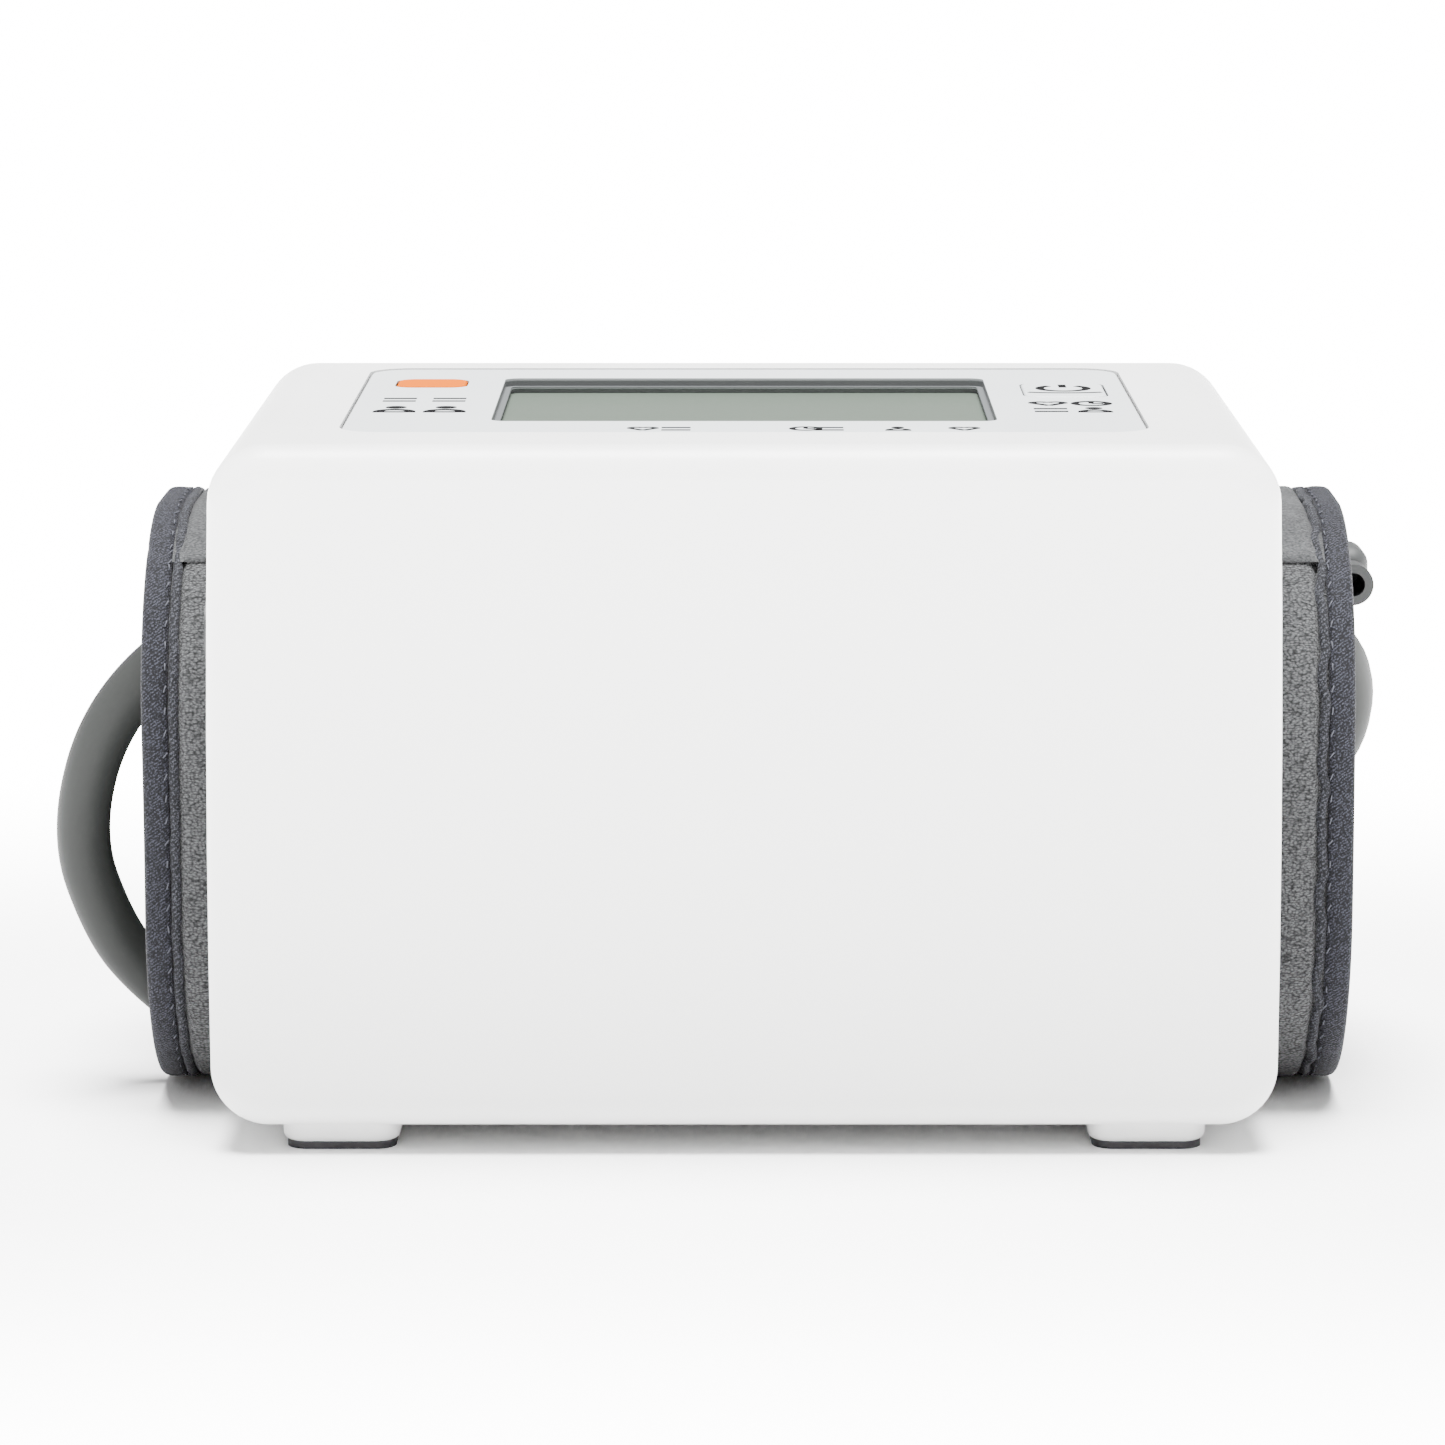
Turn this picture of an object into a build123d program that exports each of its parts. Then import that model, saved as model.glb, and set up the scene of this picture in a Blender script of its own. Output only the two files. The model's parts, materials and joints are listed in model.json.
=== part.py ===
"""Upper arm blood pressure monitor, with its cuff rolled up and stowed in a bay across the case.

Millimetres. X runs across the case, the front faces -Y, +Z is up and Z = 0 is the table.
The origin is under the middle of the case. Each separate piece is written to parts/NODE.step.
"""
from build123d import *
import math
import os

# ---------------------------------------------------------------- case
CASE_WIDTH = 128.0
WALL = 2.2
LEG_WIDTH = 12.85         # room inside the front and the rear leg, from liner to wall
TOP_ZONE = 9.5            # case above the bay liner
SIDE_BOW = 0.9            # the sides lean in by this much at the top
WIDEST_AT = 0.35          # where the case is widest, as a share of its height
CORNER_R = 7.0            # corners of the case seen from the front
FRONT_EDGE_R = 3.8
BACK_EDGE_R = 6.0
FLOOR_T = 2.2             # chassis floor that closes the two legs

# ---------------------------------------------------------------- feet and case screws
PAD_T = 0.9
BOSS_H = 2.2
FOOT_W = 14.1
FOOT_D = 12.0
FOOT_R = 3.0
FOOT_EDGE_INSET = 8.5     # outer end of a foot, in from the side of the case
FOOT_FRONT_INSET = 3.05   # front of a foot, in from the front face
SCREW_R = 1.1
SCREW_HEAD_R = 2.4
SCREW_HEAD_T = 1.4
SCREW_LENGTH = 14.0
SCREW_OUT = 3.8           # screw axis, outwards from the middle of its foot
POST_R = 2.8
POST_H = 16.0
SCREW_GAP = 0.05

# ---------------------------------------------------------------- rolled cuff and its bay
ROLL_LENGTH = 147.4
ROLL_X = 0.55             # middle of the roll, to the right of the case's middle
ROLL_DEPTH = 60.0
ROLL_LOW = 0.4
ROLL_HEIGHT = 73.2
ROLL_CORNER_R = 25.0
BINDING_W = 5.0
COVER_T = 1.6
BLADDER_T = 2.8
LINING_T = 1.6
BAY_GAP = 0.6
LINER_T = 1.6

# ---------------------------------------------------------------- top panel, keys and display
PANEL_W = 97.0
PANEL_D = 67.4
PANEL_Y = 1.45
PANEL_R = 5.0
PANEL_T = 1.0
PANEL_SINK = 0.15         # the panel's face below the case's top
PANEL_GAP = 0.25
KEY_GAP = 0.2
KEY_FLANGE = 1.1          # how far a key's flange reaches out under the wall
KEY_FLANGE_T = 1.0
KEY_TRAVEL = 0.5
KEY_PROUD = 0.1
KEY_R = 2.2
MEMORY_KEY = (-40.05, 19.2, 8.9, 8.9)       # centre X, centre Y, width, depth
START_KEY = (40.6, 11.75, 10.4, 15.0)
WINDOW_W = 61.7
WINDOW_D = 45.6
WINDOW_Y = 2.35
WINDOW_R = 1.8
BEZEL_RIM = 0.8           # width of the dark rim inside the panel's window
BEZEL_T = 2.1
BEZEL_LIP_T = 0.25        # the rim over the display window
BEZEL_FLANGE = 3.1
LENS_T = 0.5
GLASS_T = 1.8
GLASS_GAP = 0.05
BACKLIGHT_T = 3.3

# ---------------------------------------------------------------- electronics
BOARD_T = 1.6
BOARD_X = 56.0
BOARD_FRONT = 2.0         # board's front edge, back from the inside of the front wall
BOARD_BACK = 5.0
BOARD_POST = (50.0, 24.0, 3.0)              # X, Y and radius
SWITCH_W = 6.0
SWITCH_H = 1.9

# ---------------------------------------------------------------- pneumatics, in the front leg
LEG_CLEAR = 0.4
MOTOR_X = -22.0
MOTOR_Z = 25.0
MOTOR_LENGTH = 24.0
MOTOR_R = 7.75
SHAFT_R = 1.0
SHAFT_GAP = 0.05
PUMP_LENGTH = 14.0
PUMP_R = 6.0
ECCENTRIC_R = 3.0
ECCENTRIC_OFFSET = 0.8
NOZZLE_R = 1.05
NOZZLE_LENGTH = 5.0
NOZZLE_BORE_R = 0.5
TUBE_R = 2.0
TUBE_BORE_R = 1.1
TUBE_BEND_R = 4.5
VALVE_X = -44.0
VALVE_W = 10.0
VALVE_Z = 8.0
VALVE_H = 18.0
VALVE_INLET_Z = 21.0
PLUNGER_R = 2.5
PLUNGER_GAP = 0.08
PLUNGER_TRAVEL = 1.0
MANIFOLD_X = (30.0, 42.0)
MANIFOLD_Z = (35.0, 43.0)
JACK_Y = -38.5
JACK_Z = 62.0
JACK_BORE_R = 2.7
JACK_BORE_LENGTH = 10.0
JACK_R = 4.2
JACK_LENGTH = 14.0
JACK_FLANGE_R = 5.9
SENSOR_X = 52.0

# ---------------------------------------------------------------- power, in the rear leg
CELL_R = 5.25
CELL_LENGTH = 44.5
CELL_NUB_R = 1.9
CELL_NUB = 1.0
CELL_GAP = 0.25           # round each cell
SPRING_LENGTH = 3.0
SPRING_R = 2.6
SPRING_WIRE_R = 0.35
SPRING_TURNS = 2.5
CONTACT_T = 0.4
TRAY_T = 1.2
TRAY_LOW = 10.3
DOOR_GAP = 0.3
DOOR_PIN_R = 0.75
DOOR_PIN = 1.3
PIN_GAP = 0.07
EAR_W = 3.0

# ---------------------------------------------------------------- air hose
HOSE_R = 3.35
HOSE_BORE_R = 1.6
PORT_R = 3.9
PORT_LENGTH = 6.0
PLUG_COLLAR_R = 4.2
PLUG_COLLAR = 4.8
PLUG_BLOCK = (12.5, 9.0, 7.4)
PLUG_SOCKET_R = 2.6
PLUG_SOCKET = 3.5
PLUG_BORE_R = 1.5

# The hose's centre line, by hand: a bight out of the roll's left end, back through the roll, a bight
# at its right end, along the far side of the roll, up, and out to the plug at the right.
HOSE_ROUTE = [
    (-71.2, -8.5, 10.65),
    (-74.7, -9.1, 13.6),
    (-79.45, -9.9, 19.7),
    (-83.5, -11.4, 32.3),
    (-78.9, -12.6, 48.5),
    (-65.2, -12.4, 60.0),
    (-30.0, -10.5, 60.9),
    (25.0, -12.4, 61.2),
    (76.4, -11.5, 62.0),
    (76.4, 19.5, 29.5),
    (20.0, 17.5, 20.5),
    (-48.0, 15.5, 19.3),
    (-48.0, 1.6, 62.4),
    (10.0, 5.4, 61.6),
    (61.8, 6.0, 62.6),
]

# ---------------------------------------------------------------- derived places
CASE_LOW = PAD_T + BOSS_H
BAY_HALF_DEPTH = ROLL_DEPTH / 2 + BAY_GAP
LINER_HALF_DEPTH = BAY_HALF_DEPTH + LINER_T
LINER_TOP = ROLL_LOW + ROLL_HEIGHT + BAY_GAP + LINER_T
CASE_DEPTH = 2 * (LINER_HALF_DEPTH + LEG_WIDTH + WALL)
CASE_TOP = LINER_TOP + TOP_ZONE
BACK_Y = CASE_DEPTH / 2
INNER_X = CASE_WIDTH / 2 - WALL
INNER_Y = CASE_DEPTH / 2 - WALL
CEILING = CASE_TOP - WALL
FLOOR_TOP = CASE_LOW + FLOOR_T
ROLL_Z = ROLL_LOW + ROLL_HEIGHT / 2
CUFF_T = COVER_T + BLADDER_T + LINING_T
CORE_LOW = ROLL_LOW + CUFF_T
PANEL_LOW = CASE_TOP - PANEL_SINK - PANEL_T
PANEL_TOP = PANEL_LOW + PANEL_T
BEZEL_LOW = PANEL_LOW - BEZEL_T
SEAT_TOP = PANEL_LOW - BEZEL_LIP_T
LENS_TOP = SEAT_TOP - GLASS_GAP
GLASS_TOP = LENS_TOP - LENS_T - GLASS_GAP
BACKLIGHT_TOP = GLASS_TOP - GLASS_T
BOARD_TOP = BACKLIGHT_TOP - BACKLIGHT_T
BOARD_LOW = BOARD_TOP - BOARD_T
LEG_Y = (LINER_HALF_DEPTH + INNER_Y) / 2
MOTOR_FLAT = LEG_WIDTH - 2 * LEG_CLEAR
FOOT_X = CASE_WIDTH / 2 - FOOT_EDGE_INSET - FOOT_W / 2
FOOT_Y = CASE_DEPTH / 2 - FOOT_FRONT_INSET - FOOT_D / 2
SCREW_X = FOOT_X + SCREW_OUT
HINGE_Y = BACK_Y - WALL / 2
TRAY_HALF = CELL_LENGTH + SPRING_LENGTH / 2 + CONTACT_T + TRAY_T
TRAY_Y = LINER_HALF_DEPTH + 0.2
CELL_Y = TRAY_Y + TRAY_T + CELL_GAP + CELL_R
CELL_PITCH = 2 * (CELL_R + CELL_GAP) + 0.2
CELL_Z = (TRAY_LOW + TRAY_T + CELL_GAP + CELL_R, TRAY_LOW + TRAY_T + CELL_GAP + CELL_R + CELL_PITCH)
TRAY_TOP = CELL_Z[1] + CELL_R + CELL_GAP + TRAY_T
HINGE_Z = TRAY_LOW + 1.85
DOOR_HALF = TRAY_HALF - TRAY_T - 0.7
DOOR_TOP = TRAY_TOP - 0.5
SWITCH_TOP = BOARD_TOP + SWITCH_H
CORNERS = [(x, y) for x in (-1, 1) for y in (-1, 1)]
CORNER_NAMES = {(-1, -1): "front_left", (1, -1): "front_right", (-1, 1): "rear_left", (1, 1): "rear_right"}


# ---------------------------------------------------------------- shapes used again and again
def block(x, y, z):
    """A box between three (low, high) pairs."""
    centre = Pos((x[0] + x[1]) / 2, (y[0] + y[1]) / 2, (z[0] + z[1]) / 2)
    return centre * Box(x[1] - x[0], y[1] - y[0], z[1] - z[0])


def slab(width, depth, radius, low, high, x=0.0, y=0.0):
    """An upright plate with rounded corners in plan."""
    return extrude(Pos(x, y, low) * RectangleRounded(width, depth, radius), amount=high - low)


def rod(start, end, radius):
    """A cylinder from one point to another."""
    axis = Vector(*end) - Vector(*start)
    return extrude(Plane(origin=start, z_dir=axis) * Circle(radius), amount=axis.length)


def roll_prism(grow, x_low, x_high):
    """The roll's outline, grown by a distance (shrunk, if negative), between two places along X."""
    outline = RectangleRounded(ROLL_DEPTH + 2 * grow, ROLL_HEIGHT + 2 * grow, ROLL_CORNER_R + grow)
    return extrude(Plane.YZ.offset(x_low) * Pos(0, ROLL_Z) * outline, amount=x_high - x_low)


def case_form(inset):
    """The closed outer form of the case, shrunk by inset all round."""
    half = CASE_WIDTH / 2 - inset
    low = CASE_LOW + inset
    top = CASE_TOP - inset
    widest = low + (top - low) * WIDEST_AT
    right = ThreePointArc((half - SIDE_BOW / 8, low), (half, widest), (half - SIDE_BOW, top))
    left = mirror(right, about=Plane.YZ)
    roof = Line(right @ 1, left @ 1)
    sole = Line(left @ 0, right @ 0)
    face = make_face(Curve() + [right, roof, left, sole])
    face = fillet(face.vertices(), CORNER_R - inset)
    depth = CASE_DEPTH - 2 * inset
    form = extrude(Plane.XZ.offset(depth / 2) * face, amount=-depth)
    front = form.faces().sort_by(Axis.Y)[0]
    form = fillet(front.edges(), FRONT_EDGE_R - inset)
    back = form.faces().sort_by(Axis.Y)[-1]
    return fillet(back.edges(), BACK_EDGE_R - inset)


def key_prism(key, grow, low, high):
    x, y, width, depth = key
    return slab(width + 2 * grow, depth + 2 * grow, KEY_R + grow, low, high, x, y)


def tube_along(points, outer_r, bore_r, bends):
    """A hollow tube along straight runs joined by arcs."""
    path = FilletPolyline(*points, radius=bends)
    start = Plane(origin=path @ 0, z_dir=path % 0)
    ring = start * (Circle(outer_r) - Circle(bore_r))
    return sweep(ring, path=path)


# ---------------------------------------------------------------- case
def floor_slab(low, high):
    """The room inside the walls, rounded enough to stay clear of the case's rounded bottom corners."""
    return slab(2 * INNER_X, 2 * INNER_Y, BACK_EDGE_R, low, high)


def make_outer_shell(outer):
    shell = outer - case_form(WALL)
    shell -= floor_slab(CASE_LOW - 1, FLOOR_TOP + CORNER_R)
    for side, back in CORNERS:
        post_x = side * SCREW_X
        post_y = back * FOOT_Y
        post = rod((post_x, post_y, FLOOR_TOP), (post_x, post_y, FLOOR_TOP + POST_H), POST_R)
        wall_y = sorted((back * (FOOT_Y + POST_R - 0.5), back * (INNER_Y + 0.5)))
        post += block((post_x - 1, post_x + 1), wall_y, (FLOOR_TOP, FLOOR_TOP + POST_H))
        post -= rod((post_x, post_y, FLOOR_TOP), (post_x, post_y, FLOOR_TOP + POST_H - 2), SCREW_R + SCREW_GAP)
        shell += post
    for side in (-1, 1):
        ear_x = sorted((side * (DOOR_HALF + DOOR_GAP), side * (DOOR_HALF + DOOR_GAP + EAR_W)))
        shell += block(ear_x, (HINGE_Y - 2.2, HINGE_Y), (HINGE_Z - 1.9, HINGE_Z + 1.9))
    shell -= roll_prism(BAY_GAP, -CASE_WIDTH, CASE_WIDTH)
    shell -= slab(PANEL_W + 2 * PANEL_GAP, PANEL_D + 2 * PANEL_GAP, PANEL_R + PANEL_GAP,
                  PANEL_LOW, CASE_TOP + 1, 0, PANEL_Y)
    shell -= slab(WINDOW_W + 2.4, WINDOW_D + 2.4, WINDOW_R + 1.2, CEILING - 1, CASE_TOP, 0, WINDOW_Y)
    for key in (MEMORY_KEY, START_KEY):
        shell -= key_prism(key, KEY_GAP, CEILING - 1, CASE_TOP)
    door_low = HINGE_Z - WALL / 2 - DOOR_GAP
    shell -= block((-DOOR_HALF - DOOR_GAP, DOOR_HALF + DOOR_GAP), (HINGE_Y - 3, BACK_Y + 1),
                   (door_low, DOOR_TOP + DOOR_GAP))
    pin_reach = DOOR_HALF + DOOR_PIN + 0.3
    shell -= rod((-pin_reach, HINGE_Y, HINGE_Z), (pin_reach, HINGE_Y, HINGE_Z), DOOR_PIN_R + PIN_GAP)
    shell -= rod((-CASE_WIDTH, JACK_Y, JACK_Z), (-INNER_X + 1.5, JACK_Y, JACK_Z), JACK_R + 0.1)
    return shell


def make_chassis(outer):
    liner = roll_prism(BAY_GAP + LINER_T, -INNER_X, INNER_X)
    body = liner + floor_slab(CASE_LOW, FLOOR_TOP)
    post_x, post_y, post_r = BOARD_POST
    for side, back in CORNERS:
        spot = (side * post_x, back * post_y)
        body += rod((*spot, ROLL_Z + 20), (*spot, BOARD_LOW), post_r)
    inside = case_form(WALL) + floor_slab(CASE_LOW, FLOOR_TOP + 1)
    body = body & (inside & outer)
    for side, back in CORNERS:
        boss = slab(FOOT_W, FOOT_D, FOOT_R, PAD_T, CASE_LOW + 0.5, side * FOOT_X, back * FOOT_Y)
        boss = fillet(boss.faces().sort_by(Axis.Z)[0].edges(), 0.8)
        body += boss
    saddle_y = (-INNER_Y + 1, -LINER_HALF_DEPTH - 0.2)
    saddles = [(MOTOR_X + 4, MOTOR_Z - MOTOR_R), (MOTOR_X + MOTOR_LENGTH - 4, MOTOR_Z - MOTOR_R),
               (VALVE_X + VALVE_W / 2, VALVE_Z)]
    for x, top in saddles:
        body += block((x - 1, x + 1), saddle_y, (FLOOR_TOP - 0.5, top - 0.05))
    for side, back in CORNERS:
        x = side * SCREW_X
        y = back * FOOT_Y
        body -= rod((x, y, PAD_T - 1), (x, y, PAD_T + SCREW_HEAD_T + 0.1), SCREW_HEAD_R + 0.3)
        body -= rod((x, y, PAD_T), (x, y, FLOOR_TOP + 1), SCREW_R + 0.25)
    return body - roll_prism(BAY_GAP, -CASE_WIDTH, CASE_WIDTH)


def make_foot_pad(side, back):
    return slab(FOOT_W - 1.0, FOOT_D - 1.0, FOOT_R - 0.5, 0, PAD_T, side * FOOT_X, back * FOOT_Y)


def make_case_screw(side, back):
    x = side * SCREW_X
    y = back * FOOT_Y
    head = rod((x, y, PAD_T), (x, y, PAD_T + SCREW_HEAD_T), SCREW_HEAD_R)
    shank = rod((x, y, PAD_T), (x, y, PAD_T + SCREW_LENGTH), SCREW_R)
    cross = block((x - 1.6, x + 1.6), (y - 0.3, y + 0.3), (PAD_T - 1, PAD_T + 0.8))
    cross += block((x - 0.3, x + 0.3), (y - 1.6, y + 1.6), (PAD_T - 1, PAD_T + 0.8))
    return head + shank - cross


# ---------------------------------------------------------------- top panel, keys and display
def make_control_panel():
    panel = slab(PANEL_W, PANEL_D, PANEL_R, PANEL_LOW, PANEL_TOP, 0, PANEL_Y)
    panel = chamfer(panel.faces().sort_by(Axis.Z)[-1].edges(), 0.2)
    panel -= slab(WINDOW_W, WINDOW_D, WINDOW_R, PANEL_LOW - 1, CASE_TOP + 1, 0, WINDOW_Y)
    for key in (MEMORY_KEY, START_KEY):
        panel -= key_prism(key, KEY_GAP, PANEL_LOW - 1, CASE_TOP + 1)
    return panel


def make_key(key):
    flange_top = CEILING - 0.1
    cap = key_prism(key, 0, flange_top - KEY_FLANGE_T, PANEL_TOP + KEY_PROUD)
    cap = fillet(cap.faces().sort_by(Axis.Z)[-1].edges(), 0.35)
    flange = key_prism(key, KEY_FLANGE, flange_top - KEY_FLANGE_T, flange_top)
    stem_low = SWITCH_TOP + KEY_TRAVEL + 0.1
    stem = rod((key[0], key[1], stem_low), (key[0], key[1], flange_top), 1.6)
    return cap + flange + stem


def make_lcd_bezel():
    hole_w = WINDOW_W - 2 * BEZEL_RIM
    hole_d = WINDOW_D - 2 * BEZEL_RIM
    neck = slab(WINDOW_W + 2.2, WINDOW_D + 2.2, WINDOW_R + 1.1, BEZEL_LOW, PANEL_LOW, 0, WINDOW_Y)
    flange = slab(WINDOW_W + 2 * BEZEL_FLANGE, WINDOW_D + 2 * BEZEL_FLANGE, WINDOW_R + 1.1,
                  BEZEL_LOW, CEILING, 0, WINDOW_Y)
    bezel = neck + flange
    bezel -= slab(hole_w, hole_d, WINDOW_R - 0.5, BEZEL_LOW - 1, CASE_TOP, 0, WINDOW_Y)
    return bezel - slab(WINDOW_W + 0.2, WINDOW_D + 0.2, WINDOW_R, BEZEL_LOW - 1, SEAT_TOP, 0, WINDOW_Y)


def make_lcd_lens():
    return slab(WINDOW_W, WINDOW_D, WINDOW_R - 0.1, LENS_TOP - LENS_T, LENS_TOP, 0, WINDOW_Y)


def make_lcd_glass():
    return slab(WINDOW_W, WINDOW_D, WINDOW_R - 0.1, BACKLIGHT_TOP, GLASS_TOP, 0, WINDOW_Y)


def make_backlight():
    half = (WINDOW_D - 4.5) / 2
    return block((-WINDOW_W / 2 + 1.75, WINDOW_W / 2 - 1.75), (WINDOW_Y - half, WINDOW_Y + half),
                 (BOARD_TOP, BACKLIGHT_TOP))


def make_connector_strip(back):
    y = WINDOW_Y + back * (WINDOW_D / 2 - 1.0)
    return block((-WINDOW_W / 2 + 3, WINDOW_W / 2 - 3), (y - 0.9, y + 0.9), (BOARD_TOP, BACKLIGHT_TOP))


# ---------------------------------------------------------------- electronics
def make_circuit_board():
    board = block((-BOARD_X, BOARD_X), (-INNER_Y + BOARD_FRONT, INNER_Y - BOARD_BACK), (BOARD_LOW, BOARD_TOP))
    board = fillet(board.edges().filter_by(Axis.Z), 2)
    for side, back in CORNERS:
        spot = (side * BOARD_POST[0], back * BOARD_POST[1])
        board -= rod((*spot, BOARD_LOW - 1), (*spot, BOARD_TOP + 1), 1.2)
    return board - rod((SENSOR_X, -LEG_Y, BOARD_LOW - 1), (SENSOR_X, -LEG_Y, BOARD_TOP + 1), 1.6)


def make_chip(x, y, width, depth, height):
    return block((x - width / 2, x + width / 2), (y - depth / 2, y + depth / 2), (BOARD_TOP, BOARD_TOP + height))


def make_switch(key):
    x, y = key[0], key[1]
    body = make_chip(x, y, SWITCH_W, SWITCH_W, SWITCH_H - 0.4)
    return body + rod((x, y, BOARD_TOP), (x, y, SWITCH_TOP), 1.7)


def make_pressure_sensor():
    body = make_chip(SENSOR_X, -LEG_Y, 7.0, 7.0, 3.2)
    low = (SENSOR_X, -LEG_Y, BOARD_LOW - NOZZLE_LENGTH)
    stub = rod(low, (SENSOR_X, -LEG_Y, BOARD_TOP + 1), NOZZLE_R)
    return body + stub - rod(low, (SENSOR_X, -LEG_Y, BOARD_TOP + 2), NOZZLE_BORE_R)


def make_buzzer():
    x, y = 44.0, 31.0
    can = rod((x, y, BOARD_TOP), (x, y, BOARD_TOP + 3.6), 5.0)
    return can - rod((x, y, BOARD_TOP + 2.6), (x, y, BOARD_TOP + 5), 1.0)


# ---------------------------------------------------------------- pneumatics
MOTOR_END = MOTOR_X + MOTOR_LENGTH
PUMP_END = MOTOR_END + PUMP_LENGTH
NOZZLE_X = PUMP_END + NOZZLE_LENGTH
MANIFOLD_MID_X = sum(MANIFOLD_X) / 2
MANIFOLD_MID_Z = sum(MANIFOLD_Z) / 2
JACK_MOUTH_X = -CASE_WIDTH / 2
JACK_END_X = JACK_MOUTH_X + JACK_LENGTH
VALVE_SIDE_X = VALVE_X + VALVE_W


def make_pump_motor():
    axis = (-LEG_Y, MOTOR_Z)
    can = rod((MOTOR_X, *axis), (MOTOR_END, *axis), MOTOR_R)
    flat_y = (-LEG_Y - MOTOR_FLAT / 2, -LEG_Y + MOTOR_FLAT / 2)
    can = can & block((MOTOR_X, MOTOR_END), flat_y, (MOTOR_Z - MOTOR_R, MOTOR_Z + MOTOR_R))
    can -= rod((MOTOR_X + 3, *axis), (MOTOR_END - 3, *axis), MOTOR_FLAT / 2 - 0.8)
    return can - rod((MOTOR_X + 1, *axis), (MOTOR_END + 1, *axis), SHAFT_R + SHAFT_GAP)


def make_motor_shaft():
    axis = (-LEG_Y, MOTOR_Z)
    shaft = rod((MOTOR_X + 1.2, *axis), (MOTOR_END + 7, *axis), SHAFT_R)
    return shaft + rod((MOTOR_X + 4, *axis), (MOTOR_END - 4, *axis), MOTOR_FLAT / 2 - 1.4)


def make_pump_eccentric():
    low = MOTOR_END + 3
    high = MOTOR_END + 6.5
    disc = rod((low, -LEG_Y, MOTOR_Z + ECCENTRIC_OFFSET), (high, -LEG_Y, MOTOR_Z + ECCENTRIC_OFFSET), ECCENTRIC_R)
    return disc - rod((low, -LEG_Y, MOTOR_Z), (high, -LEG_Y, MOTOR_Z), SHAFT_R)


def make_pump_head():
    axis = (-LEG_Y, MOTOR_Z)
    head = rod((MOTOR_END, *axis), (PUMP_END, *axis), PUMP_R)
    head = chamfer(head.faces().sort_by(Axis.X)[-1].edges(), 0.8)
    head -= rod((MOTOR_END, *axis), (PUMP_END - 5, *axis), PUMP_R - 1)
    head += rod((PUMP_END - 1, *axis), (NOZZLE_X, *axis), NOZZLE_R)
    return head - rod((MOTOR_END, *axis), (NOZZLE_X, *axis), NOZZLE_BORE_R)


def make_valve_body():
    flat_y = (-LEG_Y - MOTOR_FLAT / 2 + 0.6, -LEG_Y + MOTOR_FLAT / 2 - 0.6)
    body = block((VALVE_X, VALVE_SIDE_X), flat_y, (VALVE_Z, VALVE_Z + VALVE_H))
    body = fillet(body.edges().filter_by(Axis.Z), 1)
    x = VALVE_X + VALVE_W / 2
    body -= rod((x, -LEG_Y, VALVE_Z + 1.5), (x, -LEG_Y, VALVE_Z + VALVE_H + 1), PLUNGER_R + PLUNGER_GAP)
    body += rod((VALVE_SIDE_X - 1, -LEG_Y, VALVE_INLET_Z), (VALVE_SIDE_X + NOZZLE_LENGTH, -LEG_Y, VALVE_INLET_Z),
                NOZZLE_R)
    return body - rod((x, -LEG_Y, VALVE_INLET_Z), (VALVE_SIDE_X + NOZZLE_LENGTH + 1, -LEG_Y, VALVE_INLET_Z),
                      NOZZLE_BORE_R)


def make_valve_plunger():
    x = VALVE_X + VALVE_W / 2
    return rod((x, -LEG_Y, VALVE_Z + 2), (x, -LEG_Y, VALVE_Z + VALVE_H - PLUNGER_TRAVEL - 0.5), PLUNGER_R)


def make_valve_cap():
    flat_y = (-LEG_Y - MOTOR_FLAT / 2 + 0.6, -LEG_Y + MOTOR_FLAT / 2 - 0.6)
    return block((VALVE_X, VALVE_SIDE_X), flat_y, (VALVE_Z + VALVE_H, VALVE_Z + VALVE_H + 1))


def make_manifold():
    tee_y = (-LEG_Y - MOTOR_FLAT / 2, -LEG_Y + MOTOR_FLAT / 2)
    tee = block(MANIFOLD_X, tee_y, MANIFOLD_Z)
    tee = fillet(tee.edges().filter_by(Axis.Y), 1.5)
    centre = (MANIFOLD_MID_X, -LEG_Y, MANIFOLD_MID_Z)
    ends = [(MANIFOLD_X[0] - NOZZLE_LENGTH, -LEG_Y, MANIFOLD_MID_Z),
            (MANIFOLD_X[1] + NOZZLE_LENGTH, -LEG_Y, MANIFOLD_MID_Z),
            (MANIFOLD_MID_X, -LEG_Y, MANIFOLD_Z[0] - NOZZLE_LENGTH),
            (MANIFOLD_MID_X, -LEG_Y, MANIFOLD_Z[1] + NOZZLE_LENGTH)]
    for end in ends:
        tee += rod(centre, end, NOZZLE_R)
    for end in ends:
        tee -= rod(centre, end, NOZZLE_BORE_R)
    return tee


def make_air_tube(points):
    points = [(x, -LEG_Y, z) for x, z in points]
    bends = [TUBE_BEND_R] * (len(points) - 2)
    return tube_along(points, TUBE_R, TUBE_BORE_R, bends)


def air_tube_routes():
    """Each internal air tube as its (X, Z) points in the front leg's mid plane."""
    slack = 0.2
    valve_x = VALVE_SIDE_X + NOZZLE_LENGTH + TUBE_BEND_R + 0.3
    sensor_low = BOARD_LOW - slack
    return {
        "tube_pump": [(PUMP_END + slack, MOTOR_Z), (MANIFOLD_MID_X, MOTOR_Z),
                      (MANIFOLD_MID_X, MANIFOLD_Z[0] - slack)],
        "tube_valve": [(MANIFOLD_X[0] - slack, MANIFOLD_MID_Z), (valve_x, MANIFOLD_MID_Z),
                       (valve_x, VALVE_INLET_Z), (VALVE_SIDE_X + slack, VALVE_INLET_Z)],
        "tube_jack": [(MANIFOLD_MID_X, MANIFOLD_Z[1] + slack), (MANIFOLD_MID_X, JACK_Z),
                      (JACK_END_X + slack, JACK_Z)],
        "tube_sensor": [(MANIFOLD_X[1] + slack, MANIFOLD_MID_Z), (SENSOR_X, MANIFOLD_MID_Z),
                        (SENSOR_X, sensor_low)],
    }


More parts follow.
